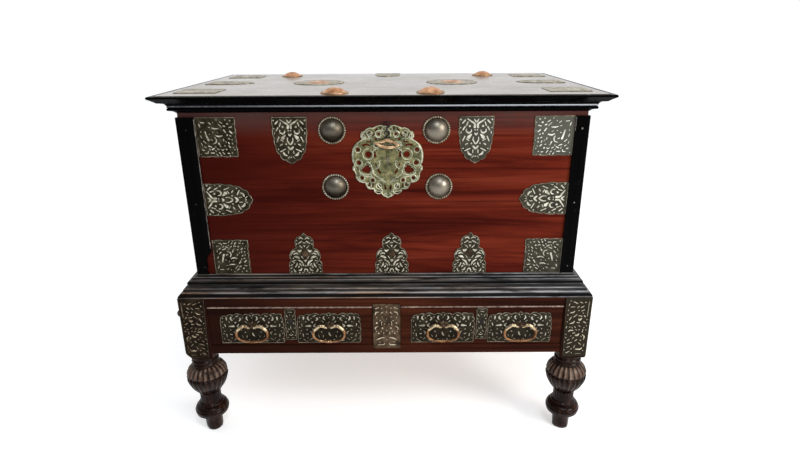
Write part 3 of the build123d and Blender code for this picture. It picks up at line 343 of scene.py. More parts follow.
# brass_tan and brass_post: painted highlight on the right, where the light falls
brass_tan = metal(
    "brass_tan", (0.07, 0.046, 0.026), (0.3, 0.225, 0.145), (0.6, 0.5, 0.36), 0.5, 0.1, 90.0, level=0.2,
    right_sheen=((0.5, 0.45, 0.34), -0.3, 0.3, 0.1),
)
brass_post = metal(
    "brass_post", (0.004, 0.0026, 0.0013), (0.014, 0.0085, 0.0042), (0.038, 0.026, 0.0145), 0.5, 0.2,
    level=0.05, right_sheen=((0.023, 0.019, 0.012), -0.3, 0.3, 0.1),
)
brass_line = metal(
    "brass_line", (0.05, 0.04, 0.026), (0.17, 0.145, 0.10), (0.36, 0.32, 0.24), 0.4, 0.5, 60.0, level=0.3
)
brass_green = metal(
    "brass_green", (0.035, 0.04, 0.016), (0.15, 0.14, 0.062), (0.33, 0.29, 0.135), 0.42, 0.4, 60.0, level=0.25
)
green_line = metal("green_line", (0.2, 0.2, 0.13), (0.5, 0.49, 0.36), (0.8, 0.78, 0.62), 0.36, 0.5, 60.0)
green_leaf = metal("green_leaf", (0.09, 0.10, 0.05), (0.27, 0.28, 0.17), (0.48, 0.48, 0.33), 0.4, 0.5, 90.0)
# brass_boss: painted shade on what faces down and a painted highlight on its right
brass_boss = metal(
    "brass_boss", (0.105, 0.085, 0.06), (0.195, 0.168, 0.13), (0.3, 0.27, 0.22), 0.36, 0.85, 22.0, 0.12,
    underside_shade=0.95, right_sheen=((0.235, 0.205, 0.16), -0.1, 0.15, 0.6),
)
brass_bead = metal(
    "brass_bead", (0.1, 0.08, 0.05), (0.3, 0.26, 0.19), (0.55, 0.5, 0.4), 0.4, 0.5, 60.0, level=0.3
)
brass_lid = metal("brass_lid", (0.3, 0.13, 0.055), (0.58, 0.29, 0.14), (0.78, 0.46, 0.25), 0.34, 0.75, 45.0)
brass_acorn = metal(
    "brass_acorn", (0.2, 0.12, 0.06), (0.55, 0.42, 0.26), (0.85, 0.72, 0.52), 0.26, 0.85, 60.0
)
brass_bail = metal(
    "brass_bail", (0.07, 0.028, 0.012), (0.27, 0.128, 0.056), (0.5, 0.3, 0.155), 0.3, 0.95, 60.0
)
iron = metal(
    "iron", (0.004, 0.004, 0.006), (0.010, 0.010, 0.014), (0.03, 0.03, 0.036), 0.5, 0.4, 80.0, level=0.2
)
brass_lid_plate = metal(
    "brass_lid_plate", (0.12, 0.1, 0.065), (0.34, 0.29, 0.2), (0.56, 0.5, 0.38), 0.32, 0.7, 45.0
)
brass_brown = metal(
    "brass_brown", (0.02, 0.012, 0.006), (0.066, 0.04, 0.022), (0.12, 0.08, 0.048), 0.45, 0.3, 45.0,
    level=0.12,
)
brass_pull = metal("brass_pull", (0.2, 0.11, 0.05), (0.5, 0.31, 0.16), (0.74, 0.53, 0.33), 0.34, 0.6, 70.0)
# dark mirror metal for the lid moulding's highlight line, painted lighter to the right as a painted highlight
band_highlight = metal(
    "band_highlight", (0.03, 0.031, 0.034), (0.07, 0.072, 0.078), (0.12, 0.124, 0.13), 0.22, 1.0, 70.0, 0.05,
    right_sheen=((0.46, 0.48, 0.52), -0.45, 0.1, -0.2),
)
lit_bead_wood = metal("lit_bead_wood", (0.05, 0.028, 0.02), (0.2, 0.125, 0.095), (0.36, 0.25, 0.195), 0.5, 0.0, 90.0)
worn_lit_edge = metal("worn_lit_edge", (0.01, 0.008, 0.007), (0.11, 0.085, 0.07), (0.28, 0.24, 0.2), 0.5, 0.0, 40.0)

# The legs' paleness is worked out point by point and kept in the attribute "wear": rubbed wear on the upper
# lobes, and a painted highlight on the crests of the lower lobes.
leg_paint = Paint("leg_wood")
leg_grain = leg_paint.grain("Z", 6, 70, 6, 0.6, 0.3)
leg_dark = leg_paint.ramp(
    leg_grain, [(0.35, (0.003, 0.001, 0.0007)), (0.55, (0.012, 0.0042, 0.0026)), (0.75, (0.042, 0.016, 0.01))]
)
leg_pale = leg_paint.ramp(
    leg_grain, [(0.3, (0.10, 0.052, 0.034)), (0.5, (0.20, 0.125, 0.09)), (0.7, (0.34, 0.27, 0.21))]
)
leg_patch = leg_paint.noise(26.0, 5, 0.65)
paleness_node = leg_paint.tree.nodes.new("ShaderNodeAttribute")
paleness_node.attribute_name = "wear"
leg_share = leg_paint.times(paleness_node.outputs["Fac"], leg_paint.grade(leg_patch, 0.36, 0.58, 0.2, 1.2), True)
leg_paint.bump(leg_grain, 0.3, 0.0012)
leg_colour = leg_paint.mix(leg_share, leg_dark, leg_pale)
leg_smear = leg_paint.grade(leg_patch, 0.3, 0.7, 0.14, 0.24)
leg_wood = leg_paint.finish(leg_colour, leg_smear, 0.0, 0.0, 0.12, 0.09)

# ------------------------------------------------------------------ mesh helpers
# A part is its points and its faces.


class Shape:
    """Faces gathered for one piece."""

    def __init__(self):
        self.points, self.faces, self.paints, self.soft = [], [], [], []

    def add(self, part, paint=0, soft=True, place=None):
        points, faces = part
        start = len(self.points)
        self.points += [place @ Vector(p) for p in points] if place else [Vector(p) for p in points]
        self.faces += [tuple(start + i for i in face) for face in faces]
        self.paints += [paint] * len(faces)
        self.soft += [soft] * len(faces)

    def build(self, name, paints, body, slot, replaced=()):
        mesh = bpy.data.meshes.new(name)
        mesh.from_pydata([p * MM for p in self.points], [], self.faces)
        for paint in paints:
            mesh.materials.append(paint)
        mesh.polygons.foreach_set("material_index", self.paints)
        mesh.polygons.foreach_set("use_smooth", self.soft)
        mesh.validate()
        mesh.update()
        piece = bpy.data.objects.new(name, mesh)
        bpy.context.collection.objects.link(piece)
        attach(piece, body)
        if replaced:
            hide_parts(*replaced)
        return piece


def facing_plane(origin, right=RIGHT, up=UP):
    """Placement of a flat drawing: its x runs right, its y up and its z out of the face."""
    right, up = Vector(right), Vector(up)
    place = Matrix((right, up, right.cross(up))).transposed().to_4x4()
    place.translation = Vector(origin)
    return place


def curve_through(points, steps=4, closed=False):
    """Points along a Catmull-Rom curve."""
    points = [Vector(p) for p in points]
    count = len(points)
    if count < 3:
        return points
    result = []
    for i in range(count if closed else count - 1):
        if closed:
            a, b, c, d = (points[(i + k) % count] for k in (-1, 0, 1, 2))
        else:
            b, c = points[i], points[i + 1]
            a = points[i - 1] if i else b * 2 - c
            d = points[i + 2] if i + 2 < count else c * 2 - b
        for k in range(steps):
            t = k / steps
            square, cube = 2 * a - 5 * b + 4 * c - d, 3 * b - a - 3 * c + d
            result.append(0.5 * (2 * b + (c - a) * t + square * t * t + cube * t**3))
    return result if closed else [*result, points[-1]]


def shares_along(path):
    """Distance along a path at each point, from 0 to 1."""
    far = [0.0]
    for a, b in zip(path, path[1:]):
        far.append(far[-1] + (b - a).length)
    return [f / far[-1] for f in far]


def sideways(path, closed=False):
    """Unit normals of a flat path."""
    count = len(path)
    normals = []
    for i in range(count):
        before = path[i - 1] if i or closed else path[i]
        after = path[(i + 1) % count] if i + 1 < count or closed else path[i]
        step = after - before
        normals.append(Vector((-step.y, step.x)).normalized())
    return normals


def dab(width, *points):
    """Loop round a stroke. Width is one number for a lens, or (start, end) for a drop."""
    path = curve_through(points, 3)
    halves = []
    for share in shares_along(path):
        if isinstance(width, tuple):
            halves.append((width[0] + (width[1] - width[0]) * share) / 2)
        else:
            halves.append(width / 2 * (0.62 + 0.38 * math.sin(math.pi * share)))
    normals = sideways(path)
    left = [p + n * h for p, n, h in zip(path, normals, halves)]
    right = [p - n * h for p, n, h in zip(path, normals, halves)]

    def cap(centre, normal, half):
        forward = Vector((normal.y, -normal.x))
        turns = [math.pi * t for t in (0.25, 0.5, 0.75)]
        return [centre + normal * half * math.cos(t) + forward * half * math.sin(t) for t in turns]

    far_cap = cap(path[-1], normals[-1], halves[-1])
    return left + far_cap + right[::-1] + cap(path[0], -normals[0], halves[0])


def inside(point, loop):
    """Whether a point lies within a loop."""
    within = False
    for a, b in zip(loop, loop[-1:] + loop[:-1]):
        if (a.y > point.y) != (b.y > point.y):
            if point.x < (b.x - a.x) * (point.y - a.y) / (b.y - a.y) + a.x:
                within = not within
    return within


def clear_of(loops, outline, margin=0.5):
    """The loops that lie within the outline and clear of each other."""
    kept = []
    for loop in loops:
        middle = sum(loop, Vector((0, 0))) / len(loop)
        grown = [p + (p - middle).normalized() * margin for p in loop]
        if not all(inside(p, outline) for p in grown):
            continue
        low = Vector((min(p.x for p in grown), min(p.y for p in grown)))
        high = Vector((max(p.x for p in grown), max(p.y for p in grown)))
        near = [
            other
            for other, far_low, far_high in kept
            if far_low.x <= high.x and far_high.x >= low.x and far_low.y <= high.y and far_high.y >= low.y
        ]
        if not any(inside(p, other) for other in near for p in grown):
            if not any(inside(p, loop) for other in near for p in other):
                kept.append((loop, low, high))
    return [loop for loop, low, high in kept]


def pierced(outline, holes, thickness, bevel=0.4):
    """A flat plate with holes and eased edges."""
    curve = bpy.data.curves.new("plate", "CURVE")
    curve.dimensions = "2D"
    curve.fill_mode = "BOTH"
    for loop in [outline, *holes]:
        spline = curve.splines.new("POLY")
        spline.points.add(len(loop) - 1)
        for point, spot in zip(spline.points, loop):
            point.co = (spot[0], spot[1], 0, 1)
        spline.use_cyclic_u = True
    curve.extrude = thickness / 2 - bevel
    curve.bevel_depth = bevel
    curve.bevel_resolution = 0
    holder = bpy.data.objects.new("plate", curve)
    mesh = bpy.data.meshes.new_from_object(holder)
    points = [(v.co.x, v.co.y, v.co.z + thickness / 2) for v in mesh.vertices]
    faces = [tuple(face.vertices) for face in mesh.polygons]
    bpy.data.meshes.remove(mesh)
    bpy.data.objects.remove(holder)
    bpy.data.curves.remove(curve)
    return points, faces


def shrunk(loop, inset):
    """The loop moved inwards."""
    path = [Vector(p) for p in loop]
    area = sum(a.cross(b) for a, b in zip(path, path[1:] + path[:1]))
    side = 1 if area > 0 else -1
    return [p + n * inset * side for p, n in zip(path, sideways(path, True))]


def floor_sheet(loop, height):
    """A flat face under the holes."""
    return [(p[0], p[1], height) for p in loop], [tuple(range(len(loop)))]


def ridge(points, width, height, base=0.0, closed=False, steps=4):
    """A rounded raised line on a plate, tapered at open ends."""
    path = curve_through(points, steps, closed)
    normals = sideways(path, closed)
    shares = [0.5] * len(path) if closed else shares_along(path)
    section = ((-1, 0.0), (-0.72, 0.62), (-0.25, 0.97), (0.25, 0.97), (0.72, 0.62), (1, 0.0))
    verts, faces = [], []
    for p, n, share in zip(path, normals, shares):
        swell = 1 if closed else 0.25 + 0.75 * min(1, 3 * math.sin(math.pi * share))
        for across, up in section:
            spot = p + n * across * width / 2 * swell
            verts.append((spot.x, spot.y, base + up * height * (0.4 + 0.6 * swell)))
    size = len(section)
    count = len(path)
    for i in range(count if closed else count - 1):
        j = (i + 1) % count
        for k in range(size - 1):
            faces.append((i * size + k, j * size + k, j * size + k + 1, i * size + k + 1))
    if not closed:
        faces.append(tuple(range(size)))
        faces.append(tuple(range((count - 1) * size, count * size))[::-1])
    return verts, faces


def skin(rings, count):
    """Faces over rings of points, with both ends closed."""
    faces = []
    for k in range(rings - 1):
        for i in range(count):
            j = (i + 1) % count
            faces.append((k * count + i, k * count + j, (k + 1) * count + j, (k + 1) * count + i))
    faces.append(tuple(range(count))[::-1])
    faces.append(tuple(range((rings - 1) * count, rings * count)))
    return faces


def lathe(profile, count, reshape=None):
    """Turn a profile of (radius, height) about z; reshape(radius, height, angle) may carve it."""
    verts = []
    for radius, height in profile:
        for i in range(count):
            angle = 2 * math.pi * i / count
            r = reshape(radius, height, angle) if reshape else radius
            verts.append((r * math.cos(angle), r * math.sin(angle), height))
    return verts, skin(len(profile), count)


def dome(radius, height, base=0.0, count=40, rings=10):
    """A spherical cap."""
    sphere = (radius**2 + height**2) / (2 * height)
    reach = math.atan2(radius, sphere - height)
    tilts = [reach * (1 - i / rings) for i in range(rings)]
    profile = [(sphere * math.sin(t), base + height - sphere * (1 - math.cos(t))) for t in tilts]
    return lathe([*profile, (0.4, base + height)], count)


def bead(x, y, z, radius, squash=1.0, count=10, rings=5):
    """A small half ball on a face."""
    tilts = [math.pi / 2 * i / rings for i in range(rings)]
    profile = [(radius * math.cos(t), radius * squash * math.sin(t)) for t in tilts]
    verts, faces = lathe([*profile, (radius * 0.08, radius * squash)], count)
    return [(vx + x, vy + y, vz + z) for vx, vy, vz in verts], faces


def tube(path, radii, count=12, flat=1.0):
    """A round wire along a path in space."""
    path = [Vector(p) for p in path]
    verts = []
    side = None
    for i, p in enumerate(path):
        forward = (path[min(len(path) - 1, i + 1)] - path[max(0, i - 1)]).normalized()
        if side is None:
            side = forward.cross(Vector((0.0, 1.0, 0.02))).normalized()
        side = (side - forward * side.dot(forward)).normalized()
        up = forward.cross(side)
        for k in range(count):
            angle = 2 * math.pi * k / count
            verts.append(p + side * radii[i] * math.cos(angle) + up * radii[i] * flat * math.sin(angle))
    return verts, skin(len(path), count)


def ball(x, y, z, radius, stretch=(1, 1, 1), count=16, rings=10):
    """A sphere stretched along its axes."""
    wide, deep, tall = (radius * s for s in stretch)
    verts = [(x, y, z - tall)]
    for i in range(1, rings):
        tilt = math.pi * i / rings
        for k in range(count):
            angle = 2 * math.pi * k / count
            across, along = math.sin(tilt) * math.cos(angle), math.sin(tilt) * math.sin(angle)
            verts.append((x + wide * across, y + deep * along, z - tall * math.cos(tilt)))
    verts.append((x, y, z + tall))
    faces = []
    for k in range(count):
        m = (k + 1) % count
        faces.append((0, 1 + m, 1 + k))
        for i in range(rings - 2):
            a, b = 1 + i * count, 1 + (i + 1) * count
            faces.append((a + k, a + m, b + m, b + k))
        last = 1 + (rings - 2) * count
        faces.append((last + k, last + m, len(verts) - 1))
    return verts, faces


def flipped(loops, x=1, y=1):
    """Loops or point lists mirrored."""
    return [[Vector((p[0] * x, p[1] * y)) for p in loop] for loop in loops]


PLATE = 2.0  # thickness of the mounts


def mount(shape, outline, holes, place, thick=PLATE, border=1.5, rim=2.2):
    """One pierced plate: dark brass, pale ground under the holes and a pale edge ridge, worn brass and a
    painted highlight.
    """
    outline = [Vector(p) for p in outline]
    shape.add(pierced(outline, clear_of(holes, outline), thick), 0, False, place)
    shape.add(floor_sheet(shrunk(outline, border), thick * 0.66), 1, False, place)
    # edge ridge: worn brass and a painted highlight where the edge catches the light
    shape.add(ridge(shrunk(outline, 0.9), rim, 0.7, thick - 0.15, True, 1), 2, True, place)


FINISH = [brass_dark, brass_pale, brass_line]

# ------------------------------------------------------------------ ornament
# A cut is its width and then x, y pairs along it: one pair is a round hole, three pairs
# with no width are a small triangle.


def cuts(rows, across=1.0, up=1.0, wide=1.0, mirror=False):
    """The loops of a list of cuts, scaled and perhaps mirrored."""
    loops = []
    for width, *numbers in rows:
        points = [Vector((x * across, y * up)) for x, y in zip(numbers[::2], numbers[1::2])]
        if not width:
            loop = points
        elif len(points) == 1:
            turns = [math.pi * k / 4 for k in range(8)]
            loop = [points[0] + Vector((math.cos(t), math.sin(t))) * (width * wide / 2) for t in turns]
        elif isinstance(width, tuple):
            loop = dab((width[0] * wide, width[1] * wide), *points)
        else:
            loop = dab(width * wide, *points)
        loops.append(loop)
        if mirror and min(abs(p.x) for p in points) > 0.01 * across:
            loops += flipped([loop], -1)
    return loops


def both_sides(half):
    """A closed outline from its right half, listed from the base to the tip."""
    left = [(-x, y) for x, y in reversed(half) if abs(x) > 1e-6]
    return [Vector(p) for p in half + left]


def keyhole(radius, middle, foot, half):
    """A round hole at one height over a slot that widens to its foot."""
    turns = (2.4, 1.8, 1.2, 0.6, 0, -0.6, -1.2, -1.8, -2.4)
    ring = [Vector((radius * math.sin(a), middle + radius * math.cos(a))) for a in turns]
    return [*ring, Vector((-half, foot)), Vector((half, foot))]


# Half a tongue, in shares of its half width and its length.
TONGUE_HALF = [
    (1, 0), (1, 0.1), (1.0, 0.17), (0.975, 0.2), (1.005, 0.26), (1.005, 0.36), (0.97, 0.42), (0.935, 0.45),
    (0.955, 0.51), (0.93, 0.58), (0.87, 0.62), (0.88, 0.67), (0.82, 0.74), (0.73, 0.785), (0.65, 0.8),
    (0.63, 0.855), (0.53, 0.9), (0.41, 0.92), (0.31, 0.915), (0.25, 0.955), (0.12, 0.975), (0, 1.0),
]
TONGUE_CUTS = [
    ((30, 60), 0.51, 0.056, 0.3, 0.109, 0.1, 0.158, 0.09, 0.23),
    (45, 0.125, 0.064, 0.0, 0.117, -0.125, 0.064), (60, 0.64, 0.083, 0.795, 0.143),
    (50, 0.49, 0.12, 0.56, 0.195), (60, 0.38, 0.207), (55, 0.65, 0.218, 0.763, 0.286),
    (45, 0.277, 0.286, 0.29, 0.323, 0.41, 0.35, 0.554, 0.32, 0.565, 0.27), (40, 0.86, 0.32, 0.88, 0.36),
    (40, 0.07, 0.286), (45, 0.08, 0.353, 0.0, 0.39, -0.08, 0.353), ((40, 90), 0.275, 0.383, 0.42, 0.44),
    (50, 0.636, 0.42, 0.763, 0.52), (40, 0.148, 0.436, 0.154, 0.5, 0.0, 0.58, -0.154, 0.5, -0.148, 0.436),
    (45, 0.25, 0.57), (50, 0.47, 0.57, 0.59, 0.6), (45, 0.4, 0.51, 0.55, 0.478),
    (60, 0.15, 0.63, 0.0, 0.68, -0.15, 0.63), (50, 0.315, 0.677, 0.6, 0.73), (50, 0.148, 0.714, 0.148, 0.77),
    (55, 0.44, 0.75, 0.366, 0.797, 0.224, 0.82), (35, 0.1, 0.838, 0.2, 0.88), (40, 0.0, 0.85),
    (50, 0.9, 0.07), (40, 0.72, 0.68), (35, 0.9, 0.24),
]

BELL_HALF = [
    (54, 0), (54, 10), (51.5, 17), (54, 26), (53, 36), (49, 41), (45.5, 45), (50, 52), (50, 62), (46, 72),
    (40, 80), (32, 84), (27, 86), (30, 95), (30, 106), (27, 115), (21, 121), (13, 124), (8, 124), (6, 129),
    (0, 134),
]
BELL_CUTS = [
    (4, 14.9, 92.8, 6.5, 84.5), (0, -4.5, 94, 4.5, 94, 0, 86), (6, 11, 78, 17, 73.7, 21, 77),
    (4, 21.6, 91.7, 26, 86, 24.5, 82.5), (4, 12, 57.7, 7, 50.5), (4.5, 22, 65, 29, 68, 37, 64),
    (4, 30.5, 74.7, 39, 73, 45, 61), (6.5, 19.7, 51.5, 26.6, 55.7, 34.5, 56.7), (4, 38.5, 51),
    (0, -7, 46.4, 7, 46.4, 0, 36), (5, 6.5, 26.8, 11.5, 38, 22.7, 45.4), (6, 14, 27, 19, 32.5),
    (6, 21, 24.7, 23.5, 20.6), (4, 27, 35, 29, 27.8, 34, 21.6), (4, 31.5, 44.3, 42.5, 40.6), (4, 37, 36),
    (4, 42, 30, 48.5, 27), (4, 44.6, 21.6, 47.5, 16), (4, 33, 5, 37.6, 10.3, 38.5, 15.5),
    (5, 13, 18.5, 16.5, 11.3, 23.4, 10.3), (4, 3.3, 114, 9.2, 118.5, 16, 115.5), (5, 7, 107, 18.5, 100),
    (5, -4, 102, 4, 102), (4, 5.5, 5.5, 4.5, 12.5, 0, 15, -4.5, 12.5, -5.5, 5.5), (4, 0, 26), (4, 24, 110),
    (4, 25, 98), (4, 10, 3.5), (4, 21, 3.5), (4, 47, 6),
]

CORNER_OUTLINE = [
    (0, 0), (1, 0), (1.0, 0.05), (1.03, 0.1), (1.02, 0.19), (0.965, 0.245), (1.01, 0.3), (1.03, 0.39),
    (0.99, 0.46), (0.95, 0.49), (1.0, 0.55), (1.015, 0.63), (0.985, 0.7), (0.95, 0.735), (1.01, 0.79),
    (1.03, 0.88), (1.0, 0.97), (0.93, 1.0), (0.86, 0.985), (0.82, 1.01), (0.73, 1.03), (0.64, 1.01),
    (0.6, 0.975), (0.53, 1.02), (0.44, 1.03), (0.36, 1.0), (0.33, 0.97), (0.27, 1.015), (0.18, 1.03),
    (0.09, 1.0), (0, 1.0),
]
CORNER_CUTS = [
    (40, 0.139, 0.127, 0.227, 0.135), (50, 0.092, 0.17, 0.115, 0.24), (35, 0.32, 0.242, 0.365, 0.258),
    (40, 0.41, 0.263, 0.475, 0.284, 0.575, 0.28), (30, 0.52, 0.364, 0.56, 0.4),
    ((30, 60), 0.23, 0.356, 0.255, 0.466, 0.29, 0.576), (45, 0.48, 0.45, 0.56, 0.48, 0.65, 0.458),
    (50, 0.35, 0.56, 0.39, 0.576), (35, 0.455, 0.5, 0.49, 0.56, 0.47, 0.636, 0.39, 0.67),
    (45, 0.16, 0.593, 0.22, 0.65), (30, 0.1, 0.644, 0.125, 0.71), (45, 0.17, 0.737, 0.21, 0.763),
    (55, 0.275, 0.72, 0.35, 0.746), (50, 0.11, 0.82, 0.15, 0.83), (35, 0.255, 0.85, 0.24, 0.9, 0.17, 0.907),
    (40, 0.285, 0.79, 0.305, 0.83), (50, 0.31, 0.9, 0.4, 0.9), (60, 0.355, 0.81, 0.415, 0.78),
    (35, 0.43, 0.83, 0.46, 0.864), (40, 0.44, 0.735, 0.465, 0.75), (65, 0.54, 0.65, 0.56, 0.69),
    (50, 0.49, 0.79, 0.53, 0.82), (35, 0.585, 0.805, 0.62, 0.83, 0.66, 0.805), (60, 0.72, 0.81),
    (45, 0.46, 0.93, 0.49, 0.97), (50, 0.53, 0.89, 0.555, 0.92), (50, 0.62, 0.88, 0.66, 0.93),
    (50, 0.745, 0.907, 0.79, 0.915), (40, 0.86, 0.9), (40, 0.57, 0.965), (40, 0.71, 0.985), (40, 0.8, 0.975),
    (45, 0.62, 0.11, 0.68, 0.15), (35, 0.575, 0.16, 0.66, 0.25), (60, 0.7, 0.21, 0.74, 0.23),
    (60, 0.81, 0.16), (50, 0.84, 0.254, 0.905, 0.237), (60, 0.7, 0.31, 0.745, 0.38),
    (60, 0.85, 0.347, 0.905, 0.4), (50, 0.78, 0.44), (45, 0.84, 0.455, 0.87, 0.47),
    (50, 0.8, 0.534, 0.83, 0.55), (45, 0.89, 0.56), (50, 0.67, 0.55, 0.675, 0.585),
    (30, 0.715, 0.6, 0.74, 0.636), (45, 0.79, 0.627, 0.81, 0.67), (45, 0.88, 0.64, 0.895, 0.67),
    (55, 0.79, 0.72, 0.83, 0.76), (35, 0.93, 0.82), (35, 0.9, 0.76), (30, 0.96, 0.16), (30, 0.96, 0.37),
    (30, 0.96, 0.61), (35, 0.45, 0.12), (40, 0.34, 0.13, 0.39, 0.17), (35, 0.12, 0.36),
    (40, 0.1, 0.46, 0.13, 0.52), (35, 0.42, 0.37), (40, 0.33, 0.42), (45, 0.88, 0.08), (40, 0.76, 0.06),
    (35, 0.54, 0.06), (35, 0.06, 0.93), (35, 0.58, 0.73), (40, 0.68, 0.71, 0.71, 0.73),
]

DRAWER_OUTLINE = [
    (-99, 0), (94, 0), (97, 4), (95.5, 8), (98.5, 14), (97, 19), (95, 21), (98.5, 27), (98.5, 34), (95.5, 38),
    (98.5, 43), (99, 50), (96, 55), (99, 61), (98, 69), (94.5, 73), (97, 79), (96, 87), (92, 90), (94, 96),
    (90, 102), (82, 103), (77, 100), (72, 104), (62, 104), (55, 100), (49, 104.5), (40, 105), (33, 101),
    (27, 98), (22, 102), (13, 103), (8, 100), (4, 105), (0, 107), (-4, 105), (-8, 100), (-13, 103),
    (-22, 102), (-27, 98), (-33, 101), (-40, 104), (-48, 104), (-54, 100), (-62, 102), (-71, 101), (-76, 97),
    (-83, 97), (-91, 96), (-96, 91), (-97, 84), (-99, 78),
]
DRAWER_CUTS = [
    ((6, 3), -78, 90, -78.6, 80.6), ((4.5, 5.5), -64, 91, -65.7, 85.4, -62, 80.6), (5, -48.5, 93, -41, 96),
    (5, -38, 88, -34.8, 84.5, -40, 77.7), (4.5, -14, 93, -16.7, 86.4, -12.4, 79.6),
    (4.5, -21.9, 76.5, -16.5, 71), (0, -56, 74.5, -47.7, 75.5, -51, 67.5), ((3.5, 8), -73, 58.6, -59, 59.6),
    (5, -85.5, 67, -83.8, 58.3), (5, -41.7, 66, -47.7, 59.2, -41, 54.4), (5, -31, 62, -25, 62.5),
    (4, -91.8, 54.4), (4, -91.8, 14.6), (4, -91.8, 74.8), (5.5, -83, 31, -82, 22.3), (5, -72, 31, -66, 30),
    (3.5, -60, 40, -54.4, 36, -56, 30), (4, -81.5, 12.6, -75.5, 7.8), (5, -24.4, 38),
    (5, -19.3, 25.2, -21, 19.4), (4.5, -14, 10.7), (3.5, -53.7, 16.6, -62.3, 9.8), (3.5, -52.8, 48.5),
    (4.5, -69, 46), (4, -35, 26, -32, 20), (4, -45, 8, -38, 6), (4, -30, 6), (4, -68, 17), (4, -88, 42),
    (4, -60, 96), (4, -28, 89), (4.5, -36, 45), (4, -90, 88), (4, -71, 74), (4, -91.5, 33), (4, -55, 86),
    (4, -4, 96), (4, -72, 5),
]
DRAWER_CENTRE_CUTS = [
    (4.5, 1.5, 74.8, -2, 66, 0, 59), (5, -2, 36, 0.5, 27, 4, 24), (4, 0, 88), (4, 0, 8),
]
KEY_OUTLINE = [
    (-17, 0), (-9, 0), (0, -2), (9, 0), (17, 0), (16, 8), (17.5, 16), (15.5, 23), (17.5, 31), (16, 40),
    (17.5, 48), (15.5, 56), (17, 64), (16, 73), (17.5, 82), (15.5, 90), (17, 98), (17, 104), (10, 107),
    (0, 104.5), (-10, 107), (-17, 104), (-17, 96), (-15.5, 88), (-17.5, 80), (-16, 71), (-17, 62),
    (-15.5, 54), (-17.5, 46), (-16, 38), (-17.5, 30), (-15.5, 21), (-17.5, 13), (-16, 6),
]
KEY_CUTS = [
    (4, -5, 96, 6, 95), (4, -12, 85, -8, 79), (4, 11, 86, 7, 79), (4, -11, 62, -7, 57), (4, 8, 60, 11, 54),
    (4.5, 0, 36, -1, 46), (4, -8, 40, -6, 34), (4, -12, 31, -10, 25), (4, 3, 30, 8, 25),
    (4, -8, 17, 0, 14, 5, 18), (4, 11, 40), (4, 0, 5, 7, 6), (4, -10, 7), (4, 12, 14), (4, -12, 70),
    (4, 12, 71), (4, -1, 22), (4, -1, 86),
]

POST_CUTS = [
    (3.5, 8.7, 14.7, 9.9, 64.7), (5, 19.8, 17), (4.5, 29, 19, 37, 15.4), (5, 44, 20.6, 56, 14.7),
    (4.5, 52, 32, 63, 33), (4.5, 50, 47, 56, 52, 63.6, 52.7), (5, 42, 59, 51.6, 67), (5, 15.6, 67, 20, 62),
    (5, 25.5, 64.7, 36.3, 63), (6.5, 27, 72, 31.5, 78, 35.6, 75), (5, 58.6, 67.6, 64, 78),
    (6, 12.8, 88, 19.5, 84), (5, 32, 87, 39.6, 87), (5, 47.6, 82, 52, 88, 61, 90.6), (4, 15, 104, 18.5, 106),
    (5, 18.4, 112, 19.7, 121), (4, 46, 100, 42, 105), (4, 54, 102, 51, 107), (4, 36.8, 114, 41, 111),
    (5, 48, 115, 58, 114, 62.7, 118.6), (5, 42.4, 123, 48.6, 124.5), (6, 29.3, 126.5, 33.8, 132, 40.2, 131),
    (4.5, 19, 129, 11.7, 136.8, 13.2, 147), (3.5, 23, 134, 20, 139), (4, 54, 134),
    (5, 44.5, 139.7, 48, 142.6), (5, 21.8, 150), (4.5, 20.2, 165, 27, 159),
    (5.5, 15.3, 177, 20, 182, 35, 182), (4, 37.6, 167.6, 41, 177), (5, 49, 157, 62, 161.8),
    (5, 53.6, 189.7, 63.4, 196), (3, 17, 198, 34, 198), (5, 24, 30, 32, 35), (4.5, 38, 30, 43, 36),
    (4.5, 21, 42, 29, 47), (4.5, 38, 45), (4, 24, 54), (4.5, 33, 97, 28, 101), (4.5, 30, 112), (4.5, 60, 103),
    (5, 34, 147, 39, 152), (4.5, 57, 146, 63, 150), (4.5, 55, 172, 62, 176), (4.5, 48, 181),
    (4, 10, 163, 11, 172), (4, 11, 187), (4.5, 68, 22, 69, 28), (4, 70, 44), (4.5, 70, 60), (4, 70, 84),
    (4.5, 70, 100, 71, 106), (4, 70, 128), (4.5, 69, 140), (4, 71, 156), (4, 70, 184), (4, 46, 195),
    (4, 10, 76), (4, 9, 98), (4, 9, 112), (4, 65, 12),
]
CENTRE_HALF_CUTS = [
    (4, 34, 18.5, 32, 12.5, 14, 11.8), (4.5, 34, 37, 24, 36.5, 10, 29.5), (5.5, 17, 53), (4, 9.5, 60.5),
    (4, 15.5, 78, 8, 73.4, 7, 66), (6, 29, 71.5), (6.5, 11.5, 89.5), (4, 26, 82, 27, 95), (4.5, 22, 98),
    (4, 11, 109), (4, 28, 111), (4.5, 7, 118, 10, 126, 18, 128), (4.5, 25, 122, 31, 128),
    (5, 8, 139, 18, 143), (4.5, 28, 141), (4, 32, 50, 33, 57), (4, 25, 60), (4, 20, 22), (4, 35, 86),
]

